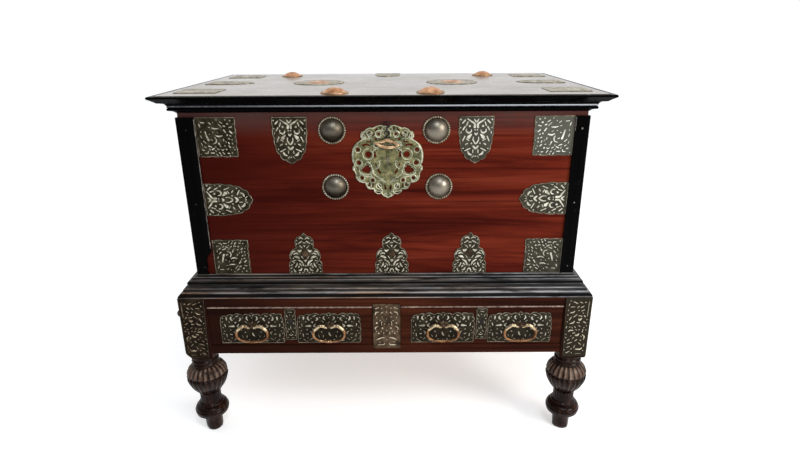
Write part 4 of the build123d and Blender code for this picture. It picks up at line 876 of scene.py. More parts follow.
SHIELD_HALF = [
    (0, 4), (10, 1), (22, 0), (33, 4), (40, 8), (50, 7), (59, 11), (65, 17), (72, 19), (76, 27), (75, 34),
    (71, 40), (77, 44), (86, 49), (94, 57), (99, 67), (102, 79), (102.5, 92), (101, 105), (96, 114),
    (101, 121), (101, 129), (96, 134), (93, 141), (93, 150), (90, 158), (83, 165), (74, 168), (66, 168),
    (64, 176), (58, 184), (50, 188), (42, 187), (38, 192), (32, 195), (25, 195), (20, 197), (18, 203),
    (12, 209), (6, 211), (0, 215),
]
SHIELD_CUTS = [
    ((7, 10), 66, 116, 56, 118, 50, 128, 51, 139), ((9, 6), 60, 142, 70, 138, 78, 131),
    ((4, 6), 12, 14, 20, 8), ((4, 6), 27, 10, 35, 17), ((4, 6), 46, 14, 55, 21), ((5, 7), 13, 28, 22, 24),
    ((5, 7), 34, 26, 44, 31), ((5, 6), 58, 28, 66, 31), ((4, 6), 24, 40, 34, 40), ((6, 4), 48, 46, 58, 49),
    ((5, 9), 84, 60, 90, 74, 90, 88), ((7, 5), 78, 70, 81, 82, 80, 95), ((5, 8), 30, 68, 36, 78, 36, 90),
    ((7, 5), 70, 58, 62, 55, 52, 58), ((5, 8), 86, 104, 84, 116), ((5, 7), 34, 112, 30, 126, 22, 138),
    ((4, 6), 76, 150, 82, 157), ((4, 6), 52, 168, 55, 178), ((4, 6), 66, 155, 70, 160),
    ((4, 6), 29, 178, 31, 190), ((4, 5), 43, 170, 44, 179), ((5, 7), 9, 176, 7, 186),
    ((4, 5), 36, 158, 42, 161), (5, 20, 196), (4, 91, 126), (4.5, 15, 52, 20, 48), ((5, 7), 55, 78, 55, 95),
]
SHIELD_CURLS = [
    (55, 84, 17), (84, 70, 10), (82, 108, 11), (44, 160, 9), (74, 153, 9), (26, 178, 9), (25, 26, 9),
    (50, 24, 8.5), (32, 56, 9), (68, 32, 7), (54, 174, 8), (9, 12, 6),
]
SHIELD_HEART = [
    (44, 133), (50, 138), (60, 140), (72, 136), (77, 129), (72, 122), (65, 119), (60, 110), (52, 112),
    (50, 123),
]
SHIELD_RIDGES = [
    [(46, 39), (62, 40), (79, 46), (93.9, 64), (98.5, 86), (96, 109), (89.6, 128)],
    [(55.5, 106), (46.5, 116), (42.6, 136), (30.6, 149.5), (15.3, 158), (3, 169.5)],
    [(82, 138), (65, 148), (43, 148)],
    [(87, 144.5), (85, 159), (75, 165), (65.6, 161)],
    [(62, 166), (60, 180), (52, 186), (43, 182.5)],
    [(40.5, 183), (37.6, 195), (26, 201), (16, 195), (15, 188.5)],
    [(28.5, 168), (28.5, 174.5), (19, 186), (13, 194.5)],
    [(31, 163), (19, 159.5), (9.6, 169.5)],
    [
        (66, 117), (60, 106), (51, 109), (46, 122), (41, 134), (50, 142), (62, 144), (76, 140), (82, 130),
        (75, 119), (66, 117),
    ],
    [(0, 10), (9, 19), (8, 32), (0, 40)],
    [(12, 22), (24, 15), (34, 22), (30, 34), (17, 36)],
    [(40, 20), (52, 27), (50, 38), (38, 38)],
    [(56, 16), (68, 24), (68, 36), (58, 36)],
    [(20, 46), (33, 51), (40, 62)],
    [(5, 48), (16, 60), (26, 63)],
    [(24, 66), (36, 70), (44, 80)],
    [(26, 100), (22, 110), (27, 122), (36, 126)],
    [(3, 198), (10, 202), (8, 208), (0, 211)],
]


def curved(loops):
    """The loops as smooth closed curves."""
    return [curve_through(loop, 3, True) for loop in loops]


def spiral(x, y, start, end, hand, count=26):
    """One turn of a scroll that closes in from one radius to another."""
    points = []
    for k in range(count + 1):
        radius = start + (end - start) * k / count
        angle = 2 * math.pi * k / count - 1.9
        points.append((x + hand * radius * math.cos(angle), y + radius * math.sin(angle)))
    return points


def fronds(line, reach, gap=3, lean=0.6):
    """Short leaf strokes standing off both sides of a scroll line."""
    path = curve_through(line, 4)
    normals = sideways(path)
    leaves = []
    for i in range(1, len(path) - 1, gap):
        step = (path[i + 1] - path[i]).normalized()
        for hand in (-1, 1):
            start = path[i] + normals[i] * hand * 1.6
            middle = start + (normals[i] * hand + step * lean * 0.5) * reach * 0.55
            leaves.append([start, middle, start + (normals[i] * hand * 0.8 + step * lean) * reach])
    return leaves


# ------------------------------------------------------------------ places, from the CAD pieces

chest_low, chest_high = box_mm("chest_front")
face_y = chest_low.y
strip_low, strip_high = box_mm("corner_strips_front")
plate_low, plate_high = box_mm("front_corner_plates")
foot_z, head_z = plate_low.z, plate_high.z
inner_x = {-1: plate_low.x, 1: plate_high.x}
lid_top = box_mm("lid_panel")[1].z
lock_x = middle_mm("escutcheon").x

# ------------------------------------------------------------------ mounts of the chest's front

CORNER_SIZE, NARROWER = 112, 4  # the lower left plate is this much narrower
TONGUE_HALF_WIDTH = 49
TOP_TONGUE_X, SIDE_TONGUE = 263, 142
BELL_PLACES, BELL_NARROW = (-244, 21, 259), 0.95


def corner_plate(shape, place, flip_x, flip_y, size_x, size_y, thick=PLATE):
    """A corner mount, drawn from its outer corner inwards."""
    eased = [[1 + (c - 1) * 0.3 if c > 0.9 else c for c in p] for p in CORNER_OUTLINE]
    outline = [Vector((p[0] * size_x * flip_x, p[1] * size_y * flip_y)) for p in eased]
    mount(shape, outline, cuts(CORNER_CUTS, size_x * flip_x, size_y * flip_y, 0.11), place, thick)


def tongue(shape, place, length, thick=PLATE, way=1):
    """A mount drawn from its straight end to its tip; way -1 points it down."""
    outline = both_sides([(x * TONGUE_HALF_WIDTH, y * length) for x, y in TONGUE_HALF])
    holes = cuts(TONGUE_CUTS, TONGUE_HALF_WIDTH, length, 0.122, True)
    outline, *holes = flipped([outline, *holes], 1, way)
    mount(shape, outline, holes, place, thick)


front_corners = Shape()
for side in (-1, 1):
    for z, way in ((foot_z, 1), (head_z, -1)):
        inset = NARROWER if side < 0 and way > 0 else 0
        place = facing_plane((inner_x[side] + inset, face_y, z))
        corner_plate(front_corners, place, -side, way, CORNER_SIZE - inset, CORNER_SIZE)
front_corners.build("front_corner_brasses", FINISH, BASE, "brass_dark", ["front_corner_plates"])

top_tongues = Shape()
for x in (-TOP_TONGUE_X, TOP_TONGUE_X):
    length = head_z - box_mm("front_top_tongues")[0].z
    tongue(top_tongues, facing_plane((x, face_y, head_z)), length, way=-1)
top_tongues.build("front_top_tongue_brasses", FINISH, BASE, "brass_dark", ["front_top_tongues"])

side_tongues = Shape()
for side in (-1, 1):
    place = facing_plane(
        (inner_x[side], face_y, middle_mm("front_side_tongues").z), (0, 0, side), (-side, 0, 0)
    )
    tongue(side_tongues, place, SIDE_TONGUE)
side_tongues.build("front_side_tongue_brasses", FINISH, BASE, "brass_dark", ["front_side_tongues"])

bells = Shape()
for middle in BELL_PLACES:
    place = facing_plane((middle, face_y, foot_z))
    outline = both_sides([(x * BELL_NARROW, y) for x, y in BELL_HALF])
    mount(bells, outline, cuts(BELL_CUTS, BELL_NARROW, wide=1.2, mirror=True), place)
    bells.add(bead(0, 66, 1.9, 11, 0.45, 20, 6), 3, True, place)
bells.build(
    "front_bottom_tongue_brasses", [*FINISH, brass_brown], BASE, "brass_dark", ["front_bottom_tongues"]
)

# ------------------------------------------------------------------ escutcheon

SHIELD_TOP = 1018
SCROLL = (2.9, 2.2, 2.3)  # width, height and foot of the raised scrolls

shield = Shape()
shield_place = facing_plane((lock_x, face_y, SHIELD_TOP))
outline = flipped([both_sides(SHIELD_HALF)], 1, -1)[0]
shield_edge = shrunk(outline, 2.0)
rings = [(reach * 1.2, x, drop) for x, drop, reach in SHIELD_CURLS if reach > 8]
hearts = [SHIELD_HEART, *flipped([SHIELD_HEART], -1)]
holes = flipped([*curved(hearts), *cuts(rings, mirror=True), *cuts(SHIELD_CUTS, mirror=True)], 1, -1)
shield.add(pierced(outline, clear_of(holes, outline), 2.5), 0, False, shield_place)
shield.add(pierced(keyhole(5.5, -97, -117, 3), [], 3.0, 0.2), 3, False, shield_place)
# the pale rim and scrolls are raised brass, rubbed bright and painted as a highlight on the relief
shield.add(ridge(shrunk(outline, 1.8), 2.7, 1.4, 2.3, True, 1), 1, True, shield_place)
for line in SHIELD_RIDGES:
    for hand in (-1, 1):
        path = [(hand * x, -drop) for x, drop in line]
        shield.add(ridge(path, *SCROLL), 1, True, shield_place)
        for leaf in fronds(path, 5.5):
            if all(inside(p, shield_edge) for p in leaf):
                shield.add(ridge(leaf, 2.7, 1.3, 2.4, steps=2), 2, True, shield_place)
for x, drop, reach in SHIELD_CURLS:
    for hand in (-1, 1):
        path = [(px, -pd) for px, pd in spiral(hand * x, drop, reach, reach * 0.78, hand)]
        shield.add(ridge(path, *SCROLL, steps=1), 1, True, shield_place)
for hand in (-1, 1):
    shield.add(bead(hand * 97, -127, 2.3, 4.0, 0.7), 1, True, shield_place)
shield.build(
    "escutcheon_brass", [brass_green, green_line, green_leaf, brass_line], BASE, "brass_green", ["escutcheon"]
)

# ------------------------------------------------------------------ bosses and the lid's mounts

FRONT_BOSSES = ((-144, 1003), (-141, 838), (151, 1003), (161, 838))
LID_BOSSES = ((134, -319), (365, 285))
ROSETTE_X, PETALS = 222, 16
LID_PLATE, LID_TONGUE = 1.3, 150
LID_FINISH = [brass_lid_plate, brass_pale, brass_lid_plate, brass_lid]


def add_boss(shape, place, rim=39.5, radius=32.5, height=21.0, beads=34):
    """A dome in a beaded rim."""
    edge = [(rim, 0), (rim, 1.6), (rim - 1.2, 2.6), (rim - 2.2, 2.2)]
    profile = [*edge, (radius + 0.6, 2.0), (radius + 0.4, 0.5)]
    shape.add(lathe(profile, 72), 0, True, place)
    middle = rim - 3.2
    for i in range(beads):
        angle = 2 * math.pi * i / beads
        shape.add(
            bead(middle * math.cos(angle), middle * math.sin(angle), 1.4, 3.2, 0.75, 8, 4), 1, True, place
        )
    shape.add(dome(radius, height - 1.5, 1.5, 56, 12), 2, True, place)


def flat_on_lid(x, y, right=RIGHT, up=(0, 1, 0)):
    """Placement of a drawing on the lid's top."""
    return facing_plane((x, y, lid_top), right, up)


front_bosses = Shape()
for x, z in FRONT_BOSSES:
    add_boss(front_bosses, facing_plane((x, face_y, z)))
front_bosses.build(
    "front_boss_brasses", [brass_brown, brass_bead, brass_boss], BASE, "brass_boss", ["front_bosses"]
)

lid_bosses = Shape()
for side in (-1, 1):
    for x, y in LID_BOSSES:
        add_boss(lid_bosses, flat_on_lid(side * x, y), radius=35.0, height=16.0)
lid_bosses.build(
    "lid_boss_brasses", [brass_lid, brass_lid_plate, brass_lid], "lid", "brass_lid", ["lid_bosses"]
)

rosettes = Shape()
for side in (-1, 1):
    place = flat_on_lid(side * ROSETTE_X, 0)
    rim = []
    for i in range(PETALS * 6):
        angle = 2 * math.pi * i / (PETALS * 6)
        rim.append(Vector((math.cos(angle), math.sin(angle))) * (81 + 4 * abs(math.cos(PETALS * angle / 2))))
    holes = []
    for i in range(PETALS):
        turn = Matrix.Rotation(2 * math.pi * i / PETALS, 2)
        for loop in cuts([((4, 9), 46, 0, 60, 3, 72, 0), (5, 66, 11), (4, 50, 10)]):
            holes.append([turn @ p for p in loop])
    mount(rosettes, rim, holes, place, LID_PLATE)
    rosettes.add(dome(40, 5.2, 1.1, 48, 8), 3, True, place)
rosettes.build("lid_rosette_brasses", LID_FINISH, "lid", "brass_lid", ["lid_rosettes"])

lid_corners = Shape()
corner = box_mm("lid_corner_plates")[1]
for side in (-1, 1):
    for way in (1, -1):
        corner_plate(
            lid_corners, flat_on_lid(side * corner.x, -way * corner.y), -side, way, 118, 100, LID_PLATE
        )
lid_corners.build("lid_corner_brasses", LID_FINISH, "lid", "brass_lid", ["lid_corner_plates"])

lid_tongues = Shape()
edge = box_mm("lid_tongues")[1]
for side in (-1, 1):
    tongue(lid_tongues, flat_on_lid(side * edge.x, 0, (0, side, 0), (-side, 0, 0)), LID_TONGUE, LID_PLATE)
tongue(lid_tongues, flat_on_lid(0, edge.y, (-1, 0, 0), (0, -1, 0)), LID_TONGUE, LID_PLATE)
lid_tongues.build("lid_tongue_brasses", LID_FINISH, "lid", "brass_lid", ["lid_tongues"])

# ------------------------------------------------------------------ stand mounts

STUD_Y, STUD_Z = -381, 447

post_mounts = Shape()
post_low, post_high = box_mm("stand_corner_mounts")
foot, fold_y = post_low.z - post_high.z, post_low.y + PLATE
for side in (-1, 1):
    outline = [(0, foot), (73, foot), (80, 0), (0, 0)]
    if side < 0:
        outline = [(0, foot + 16), (14, foot), (72, foot), (80, 0), (0, 0)]
    # The same plate lies on the front of the post and folds round its side.
    front = (-side, side * post_high.x, RIGHT)
    flank = (side, side * (post_high.x - PLATE), (0, side, 0))
    for turn, x, right in (front, flank):
        plate = [Vector((px * turn, py)) for px, py in outline]
        holes = flipped(cuts(POST_CUTS, wide=1.05), turn, -1)
        mount(post_mounts, plate, holes, facing_plane((x, fold_y, post_high.z), right), PLATE, 1.0, 1.6)
stud_place = facing_plane((-post_high.x, STUD_Y, STUD_Z), (0, -1, 0))
post_mounts.add(dome(12, 13, 0, 24, 8), 2, True, stud_place)
post_mounts.build(
    "stand_corner_brasses", [brass_post, brass_tan, brass_brown], BASE, "brass_dark", ["stand_corner_mounts"]
)

centre_mount = Shape()
low, high = box_mm("stand_centre_mount")
half, tall = (high.x - low.x) / 2, high.z - low.z
outline = [Vector(p) for p in ((-half, 0), (half, 0), (half, tall), (-half, tall))]
holes = [[Vector((p.x - half, p.y)) for p in loop] for loop in cuts(CENTRE_HALF_CUTS)]
holes += flipped(holes, -1)
holes += cuts([(4, 0, 30), (4, 0, 128), (4, 0, 62), (4, 0, 104), (4, -3, 146, 3, 146)])
mount(centre_mount, outline, holes, facing_plane((low.x + half, high.y, low.z)), PLATE, 1.5, 1.8)
centre_mount.build(
    "stand_centre_brass", [brass_brown, brass_cream, brass_brown], BASE, "brass_dark", ["stand_centre_mount"]
)

# ------------------------------------------------------------------ drop handles

POST_TURNED = [
    (9, 0), (9, 1.2), (7.5, 2.2), (6.2, 2.6), (4.6, 3.4), (3.4, 5), (3.1, 9), (4.0, 10.5), (3.2, 12.5),
    (0.6, 13.6),
]
BAIL_FINISH = [brass_bail, brass_acorn]
HANDLE_SCALE, HANDLE_Z, HANDLE_PLATE_DROP = 1.45, 800, 47.1
KEY_RISE = 12  # the key plate stands this much above the foot of the other plates


def handle_mesh(scale=1.0):
    """An oval drop handle about X at the origin: acorn ends, a round wire and two knops below."""
    path, radii = [], []
    half, drop = 48 * scale, 53 * scale
    for i in range(49):
        t = i / 48
        angle = math.radians(22 + 316 * t)
        x = half * math.copysign(abs(math.sin(angle)) ** 0.78, math.sin(angle))
        z = -drop / 2 + drop / 2 * math.copysign(abs(math.cos(angle)) ** 0.78, math.cos(angle))
        z += 4.5 * scale * math.exp(-(((abs(x) / scale - 26) / 10) ** 2)) * (z > -drop / 2)
        sweep = abs(t - 0.5) * 2
        path.append((x, 0, z))
        radii.append((3.5 + 2.0 * min(1, max(0, (sweep - 0.4) / 0.45))) * scale)
    wire_and_ends = ((7, 42, 0), (0, 8, 1), (41, 49, 1))
    shape = [(tube(path[start:end], radii[start:end], 14), paint) for start, end, paint in wire_and_ends]
    for hand in (-1, 1):
        for x, z, radius, long in ((19.0, 1.5, 5.6, 1.2), (12.0, -2.6, 4.2, 0.8), (7.5, -4.0, 3.2, 1.0)):
            shape.append((ball(hand * x * scale, 0, z * scale, radius * scale, (long, 1, 1)), 1))
        shape.append((ball(hand * 4.0 * scale, 0, -drop, 4.6 * scale, (0.8, 1, 1)), 0))
        shape.append((ball(hand * 10.5 * scale, 0, -drop + 0.8 * scale, 4.1 * scale, (0.5, 1, 1)), 0))
    return shape


def post_mesh(scale=1.0):
    """The post of a drop handle: a rosette on the plate, a shank and a ball over the pivot."""
    shape = []
    for hand in (-1, 1):
        verts, faces = lathe([(r * scale, h * scale) for r, h in POST_TURNED], 20)
        shape.append((([(x + hand * 7.0 * scale, 12 * scale - z, y) for x, y, z in verts], faces), 0))
    shape.append((ball(0, -0.5 * scale, 0.5 * scale, 5.0 * scale, (1.5, 0.9, 1.0)), 0))
    shape.append((ball(0, 0, 7 * scale, 3.6 * scale, (0.8, 0.8, 1.5)), 0))
    return shape


def add_all(shape, parts, place):
    """Add parts that are listed with their paints."""
    for part, paint in parts:
        shape.add(part, paint, True, place)


for name in ("left", "right"):
    face = box_mm(f"drawer_{name}_front")[0].y
    plates_foot = box_mm(f"drawer_{name}_mounts")[0].z
    pivot_z = middle_mm(f"drawer_{name}_bail_posts").z
    plates, posts = Shape(), Shape()
    for end in ("outer", "inner"):
        loops = cuts(DRAWER_CUTS)
        loops += flipped(loops, -1) + cuts(DRAWER_CENTRE_CUTS)
        place = facing_plane((middle_mm(f"drawer_{name}_bail_{end}").x, face, plates_foot))
        mount(plates, DRAWER_OUTLINE, loops, place, PLATE, 1.6, 2.0)
    key_place = facing_plane((middle_mm(f"drawer_{name}_front").x, face, plates_foot + KEY_RISE))
    mount(plates, KEY_OUTLINE, cuts(KEY_CUTS), key_place, PLATE, 1.5, 1.8)
    # a dark iron sheet in the keyhole's shape stands in for the keyhole: painted shade where the opening
    # would be
    plates.add(floor_sheet(keyhole(4.2, 64.2, 50, 2.7), 2.12), 3, False, key_place)
    body = "drawer_" + name
    plates.build(f"drawer_{name}_brasses", [*FINISH, iron], body, "brass_dark", [f"drawer_{name}_mounts"])
    for end in ("outer", "inner"):
        bail_name = f"drawer_{name}_bail_{end}"
        middle = middle_mm(bail_name)
        spot = Matrix.Translation((middle.x, middle.y, pivot_z))
        bail = Shape()
        add_all(bail, handle_mesh(), spot)
        bail.build(f"{bail_name}_brass", BAIL_FINISH, f"bail_{name}_{end}", "brass_bail", [bail_name])
        add_all(posts, post_mesh(), spot)
    posts.build(
        f"drawer_{name}_post_brasses", [brass_brown], body, "brass_bail", [f"drawer_{name}_bail_posts"]
    )

side_posts = Shape()
for name, side in (("left", -1), ("right", 1)):
    handle_name = f"side_handle_{name}"
    turn = Matrix.Rotation(math.radians(side * 90), 4, "Z")
    spot = Matrix.Translation((middle_mm(handle_name).x, 0, HANDLE_Z)) @ turn
    handle = Shape()
    add_all(handle, handle_mesh(HANDLE_SCALE), spot)
    handle.build(f"{handle_name}_brass", BAIL_FINISH, f"handle_{name}", "brass_bail", [handle_name])
    place = facing_plane((side * chest_high.x, 0, HANDLE_Z - HANDLE_PLATE_DROP), (0, side, 0))
    outline = [Vector((x * 0.77, y * 0.71)) for x, y in DRAWER_OUTLINE]
    loops = cuts(DRAWER_CUTS, 0.77, 0.71, 0.75)
    loops += flipped(loops, -1)
    mount(side_posts, outline, loops, place, PLATE, 1.4, 1.8)
    add_all(side_posts, [(part, 3) for part, paint in post_mesh(HANDLE_SCALE)], spot)
side_posts.build("side_handle_brasses", [*FINISH, brass_bail], BASE, "brass_dark", ["side_handle_mounts"])

# ------------------------------------------------------------------ lock pull and iron work

PULL_Z, STAPLE_HALF = 984, 6.4
PULL_TOP = [(-37, -14), (-24, -13.5), (-10, -11), (-3, -6), (5, -10), (18, -14), (34, -22)]
PULL_FOOT = [(-37, -14), (-28, -19.5), (-14, -25.5), (3, -28.5), (20, -27), (34, -22)]
HOOKS = ((1017, 10), (994, 8))  # height and size
HOOK_PINS = (1006, 985)
HOOK_PATH = [(-0.9, -0.1), (-0.75, 0.65), (0.0, 1.0), (0.8, 0.6), (0.8, -0.05), (0.1, -0.5), (-0.1, -1.1)]
NAIL_HEIGHTS = (585, 788, 1006)

pull = Shape()
pull_y = middle_mm("pull_handle").y
for line in (PULL_TOP, PULL_FOOT):
    path = curve_through([(lock_x + x, pull_y, PULL_Z + z) for x, z in line], 4)
    pull.add(tube(path, [1.5 + 3.2 * math.sin(math.pi * share) for share in shares_along(path)], 12, 0.7), 0)
pull.add(ball(lock_x - 3, pull_y, PULL_Z - 8, 4.4), 0)
pull.add(ball(lock_x - 1, pull_y, PULL_Z - 1, 3.6, (1, 0.9, 1)), 1)
pull.build("pull_brass", [brass_pull, iron], "pull", "brass_bail", ["pull_handle"])

staples = Shape()
for side in (-1, 1):
    x = lock_x + side * STAPLE_HALF
    staples.add(tube([(x, face_y - PLATE, PULL_Z), (x, pull_y, PULL_Z)], [1.8, 1.8], 10), 0)
    staples.add(ball(x, pull_y, PULL_Z, 2.6), 0)
staples.add(tube([(lock_x + d, pull_y, PULL_Z) for d in (-9, 0, 9)], [1.6, 2.0, 1.6], 10), 0)
for z, size in HOOKS:
    path = curve_through([(lock_x - 1 + size * x, pull_y + 3, z + size * up) for x, up in HOOK_PATH], 5)
    staples.add(tube(path, [2.0 - 0.7 * abs(i / 15 - 1) for i in range(len(path))], 10), 0)
for z in HOOK_PINS:
    staples.add(tube([(lock_x - 2, face_y, z), (lock_x - 2, pull_y + 3, z)], [1.8, 1.6], 10), 0)
staples.build("iron_hooks", [iron], BASE, "iron", ["iron_staples"])

nails = Shape()
for side in (-1, 1):
    middle = (inner_x[side] + side * strip_high.x) / 2
    for z in NAIL_HEIGHTS:
        place = facing_plane((middle, strip_low.y, z))
        nails.add(bead(0, 0, 0, 2.6, 0.45, 12, 4), 0 if side > 0 else 1, True, place)
nails.build("strip_nails", [worn_lit_edge, iron], BASE, "iron", ["strip_pins"])

# ------------------------------------------------------------------ bead line and pale edges, painted as highlights

RAIL_STEP, EDGE_STEPS = 6, 60
PALE_EDGE_FROM = {-1: 646, 1: 1000}  # height at which each strip's pale edge, worn and painted as a highlight, starts

# a thin bead under the top rail in pale wood: a painted highlight where the rail's edge catches the light
rail_line = Shape()
rail_low = box_mm("stand_top_rail")[0]
for name in ("left", "right"):
    low, high = (corner.x for corner in box_mm(f"drawer_{name}_front"))
    low, high = low + 1.5, high - 1.5
    count = int((high - low) / RAIL_STEP)
    wave = random.Random(round(high))
    places = [low + (high - low) * i / count for i in range(count + 1)]
    path = [(x, rail_low.y, rail_low.z + wave.uniform(-0.25, 0.25)) for x in places]
    rail_line.add(tube(path, [wave.uniform(2.1, 2.7) for _ in path], 8), 0)
rail_line.build("rail_beads", [lit_bead_wood], BASE, "stand_wood")

# pale lines on the strips' inner edges: worn edges and a painted highlight where they catch the light
edge_lines = Shape()
for side, foot in PALE_EDGE_FROM.items():
    x = inner_x[side] + side * 1.1
    wave = random.Random(11 + side)
    heights = [foot + (strip_high.z - 3 - foot) * i / EDGE_STEPS for i in range(EDGE_STEPS + 1)]
    path = [(x + wave.uniform(-0.3, 0.3), strip_low.y, z) for z in heights]
    edge_lines.add(tube(path, [wave.uniform(1.0, 1.8) for _ in path], 6, 0.6), 0)
edge_lines.build("strip_lit_worn_edges", [worn_lit_edge], BASE, "ebony")

# ------------------------------------------------------------------ turned legs

LOBES = 22
POST_SIZE, POST_FOOT, RING_FOOT = 80, 290, 60
LOWER_LOBES, UPPER_LOBES = (109, 214), (218, 251)
LEG_PROFILE = [
    (20, 0), (25, 1.5), (26.4, 10), (27, 26), (28, 42), (30, 54), (31, 59), (40, 60.4), (47, 62.6),
    (51.4, 67), (52, 69.2), (50.8, 70.4), (53, 72.4), (54, 77), (54, 82), (52.6, 85.8), (51, 86.8),
    (51.6, 88.4), (49, 93), (44, 97), (39, 99.4), (36.4, 100), (39.4, 102), (40, 104.6), (38.4, 107.4),
    (34.6, 108.6), (33.6, 112), (33, 120), (33, 130), (33.2, 138), (34.6, 145), (37.4, 151), (41.6, 157),
    (46.4, 163), (51.2, 170), (55.6, 178), (59.4, 186), (62.6, 195), (64.4, 203), (64.8, 208), (63.4, 213),
    (58.6, 215), (57.6, 216), (59, 217.2), (62.8, 218.4), (63.8, 222), (62.6, 227), (60, 233), (56, 239),
    (51, 244.4), (46, 248.4), (42, 250.2), (38, 251), (39, 252.4), (42, 254), (42.6, 257.5), (41.4, 261),
    (38.4, 262.6), (38.6, 263.8), (41, 265.2), (42.4, 268.8), (41, 272.6), (38.2, 274.6), (36.6, 276.6),
    (36, 283), (37, 290),
]


def swell(height, low, high):
    """A rise and fall between two heights."""
    return max(0.0, math.sin(math.pi * min(1, max(0, (height - low) / (high - low)))))


def lobe_phase(angle):
    """Place across a lobe, from -1 to 1."""
    return (angle * LOBES / (2 * math.pi)) % 1 * 2 - 1


def gadroon(radius, height, angle):
    """Two tiers of rounded lobes, parted by a groove."""
    valley = 1 - math.sqrt(max(0.0, 1 - 0.98 * lobe_phase(angle) ** 2))
    if UPPER_LOBES[0] <= height <= UPPER_LOBES[1]:
        return radius - (1.5 + 6.4 * swell(height, 210, 262) ** 0.6) * valley
    if LOWER_LOBES[0] <= height <= LOWER_LOBES[1]:
        share = (height - LOWER_LOBES[0]) / (LOWER_LOBES[1] - LOWER_LOBES[0])
        return radius - (1.2 + 6.4 * share**0.7) * valley
    return radius


foot_noise = random.Random(5)
foot_bumps = [[foot_noise.uniform(-1, 1) for _ in range(9)] for _ in range(6)]


def rough_foot(point):
    """The foot is broken and uneven."""
    x, y, z = point
    if z > RING_FOOT - 2:
        return point
    angle = math.atan2(y, x) % (2 * math.pi)
    spot, level = angle / (2 * math.pi) * 9, z / RING_FOOT * 5
    i, k = int(spot) % 9, int(level)
    a, b = spot - int(spot), level - k
    row, above = foot_bumps[k], foot_bumps[min(5, k + 1)]
    low = row[i] * (1 - a) + row[(i + 1) % 9] * a
    high = above[i] * (1 - a) + above[(i + 1) % 9] * a
    grow = 1 + 0.07 * (low * (1 - b) + high * b) * (1 - z / (RING_FOOT + 16))
    return (x * grow, y * grow, z)


def leg_paleness(x, y, z):
    """How pale the wood is: rubbed on the crests of the upper lobes most of all, with a painted highlight on
    the crests of the lower lobes.
    """
    crest = 1 - lobe_phase(math.atan2(y, x)) ** 2
    if UPPER_LOBES[0] <= z <= UPPER_LOBES[1]:
        return (0.01 + 0.95 * crest**2.6) * min(1, swell(z, 216, 256) * 1.6)
    # painted highlight along the crests of the lower lobes
    if LOWER_LOBES[0] <= z <= LOWER_LOBES[1]:
        return 0.14 * crest**4 * swell(z, 150, 226)
    if z > RING_FOOT:
        return 0.01 if z < LOWER_LOBES[0] else 0.03
    return 0.04


leg_points, leg_faces = lathe(LEG_PROFILE, LOBES * 10, gadroon)
leg_points = [rough_foot(p) for p in leg_points]
half = POST_SIZE / 2
leg_x, leg_y = box_mm("stand_moulding")[1].x - half, box_mm("chest_back")[1].y - half
for depth_name, depth in (("front", -1), ("back", 1)):
    for side_name, side in (("left", -1), ("right", 1)):
        name = f"leg_{depth_name}_{side_name}"
        leg = Shape()
        x, y, top = side * leg_x, depth * leg_y, box_mm(name)[1].z
        turn = Matrix.Rotation(0.14 * (side + 2 * depth), 4, "Z")
        leg.add((leg_points, leg_faces), 0, True, Matrix.Translation((x, y, 0)) @ turn)
        corner = [(-half, POST_FOOT)]
        if name == "leg_front_left":  # the post lacks its lower outer corner
            corner = [(-half, POST_FOOT + 16), (16 - half, POST_FOOT)]
        square = [*corner, (half, POST_FOOT), (half, top), (-half, top)]
        leg.add(pierced(square, [], POST_SIZE, 1.2), 1, False, facing_plane((x, y + half, 0)))
        piece = leg.build(f"{name}_turned", [leg_wood, stand_wood_z], BASE, "leg_wood", [name])
        wear = piece.data.attributes.new("wear", "FLOAT", "POINT")
        spots = [vertex.co for vertex in piece.data.vertices]
        values = [leg_paleness(p.x - x * MM, p.y - y * MM, p.z / MM) for p in spots]
        wear.data.foreach_set("value", values)

# ------------------------------------------------------------------ finishes of the CAD pieces


def paint_node(name, *materials):
    """Give a CAD piece its materials; every face starts with the first."""
    mesh = nodes[name].data
    mesh.materials.clear()
    for material in materials:
        mesh.materials.append(material)
    for face in mesh.polygons:
        face.material_index = 0
    return mesh


for material, *names in (
    (rosewood, "chest_front", "chest_back"),
    (rosewood_y, "chest_side_left", "chest_side_right"),
    (stand_wood, "stand_top_rail", "stand_bottom_rail", "drawer_left_front", "drawer_right_front"),
    (stand_wood_z, "drawer_divider"),
    (stand_wood_y, "stand_side_left", "stand_side_right"),
    (inner_wood, "stand_back_panel", "chest_bottom"),
    (inner_wood_y, "drawer_runners", "drawer_left_box", "drawer_right_box"),
    (lid_wood, "lid_panel"),
    (ebony_y, "lid_moulding_sides"),
    (ebony_z, "corner_strips_front", "corner_strips_back"),
    (iron, "lock_case", "lock_bolt", "lid_lock_staple", "chest_hinge_leaves", "lid_hinge_leaves"),
):
    for name in names:
        paint_node(name, material)

# Mouldings take the grain of the run they belong to.
for name, *materials in (("base_moulding", base_x, base_y), ("stand_moulding", moulding_x, moulding_y)):
    low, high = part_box(name)
    for face in paint_node(name, *materials).polygons:
        if face.center.y - low.y >= high.x - abs(face.center.x):
            face.material_index = 1

# A band of the lid's moulding that looks forward is a dark mirror metal, so it shows a bright line standing
# in for the wood's gloss highlight, and is painted lighter to the right as a painted highlight.
HIGHLIGHT_DROPS = (29.5, 34.2)
for face in paint_node("lid_moulding_front", ebony_x, band_highlight).polygons:
    drop = lid_top - face.center.z / MM
    if HIGHLIGHT_DROPS[0] < drop < HIGHLIGHT_DROPS[1] and face.normal.y < -0.2:
        face.material_index = 1

# ------------------------------------------------------------------ floor and light

FLOOR_HALF = 30

scene = bpy.context.scene
scene.view_settings.view_transform = "Standard"
scene.view_settings.look = "None"

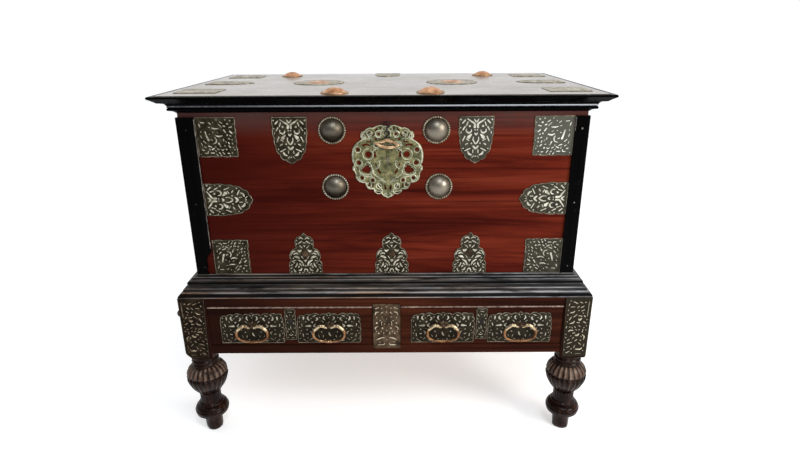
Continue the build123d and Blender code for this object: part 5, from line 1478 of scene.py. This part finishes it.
floor_mesh = bpy.data.meshes.new("floor")
floor_corners = [(FLOOR_HALF * x, FLOOR_HALF * y, 0) for x, y in ((-1, -1), (1, -1), (1, 1), (-1, 1))]
floor_mesh.from_pydata(floor_corners, [], [(0, 1, 2, 3)])
floor = bpy.data.objects.new("floor", floor_mesh)
bpy.context.collection.objects.link(floor)
floor_paint = Paint("floor")
floor_paint.shader.inputs["Emission Color"].default_value = (1, 1, 1, 1)
floor_paint.shader.inputs["Emission Strength"].default_value = 0.42
floor_mesh.materials.append(floor_paint.finish((0.8, 0.8, 0.8, 1), 0.8, level=0.05))
floor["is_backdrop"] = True

# The sky is bright and white behind the object and above it, dim and bluer in front.
world = bpy.data.worlds.new("studio")
scene.world = world
world.use_nodes = True
sky = Nodes(world.node_tree)
background = sky.tree.nodes["Background"]
direction = sky.tree.nodes.new("ShaderNodeTexCoord").outputs["Generated"]
behind = sky.grade(sky.axis(direction, "Y"), -0.35, 0.35, kind="SMOOTHSTEP")
above = sky.grade(sky.axis(direction, "Z"), 0.35, 0.95, 0.0, 0.75, "SMOOTHSTEP")
brightness = sky.math("ADD", sky.times(sky.math("MAXIMUM", behind, above), 0.95), 0.10)
sky.put(background.inputs["Color"], sky.mix(behind, (0.86, 0.93, 1.0), (1.0, 1.0, 1.0)))
sky.put(background.inputs["Strength"], brightness)


def soft_light(name, place, aim, power, size, colour):
    """A square area light aimed at a point."""
    data = bpy.data.lights.new(name, "AREA")
    data.energy = power
    data.size = size
    data.color = colour
    lamp = bpy.data.objects.new(name, data)
    lamp.location = place
    lamp.rotation_euler = (Vector(aim) - Vector(place)).to_track_quat("-Z", "Y").to_euler()
    bpy.context.collection.objects.link(lamp)


soft_light("key", (2.6, -2.2, 1.9), (0.15, -0.3, 0.75), 90, 1.4, (1.0, 0.96, 0.9))
soft_light("window", (0.5, -2.4, 3.4), (0.0, -0.4, 0.9), 42, 1.1, (0.84, 0.92, 1.0))

# ------------------------------------------------------------------ size and finish

size = {"cad_box": cad_box, "visual_box": [list(corner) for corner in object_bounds()]}
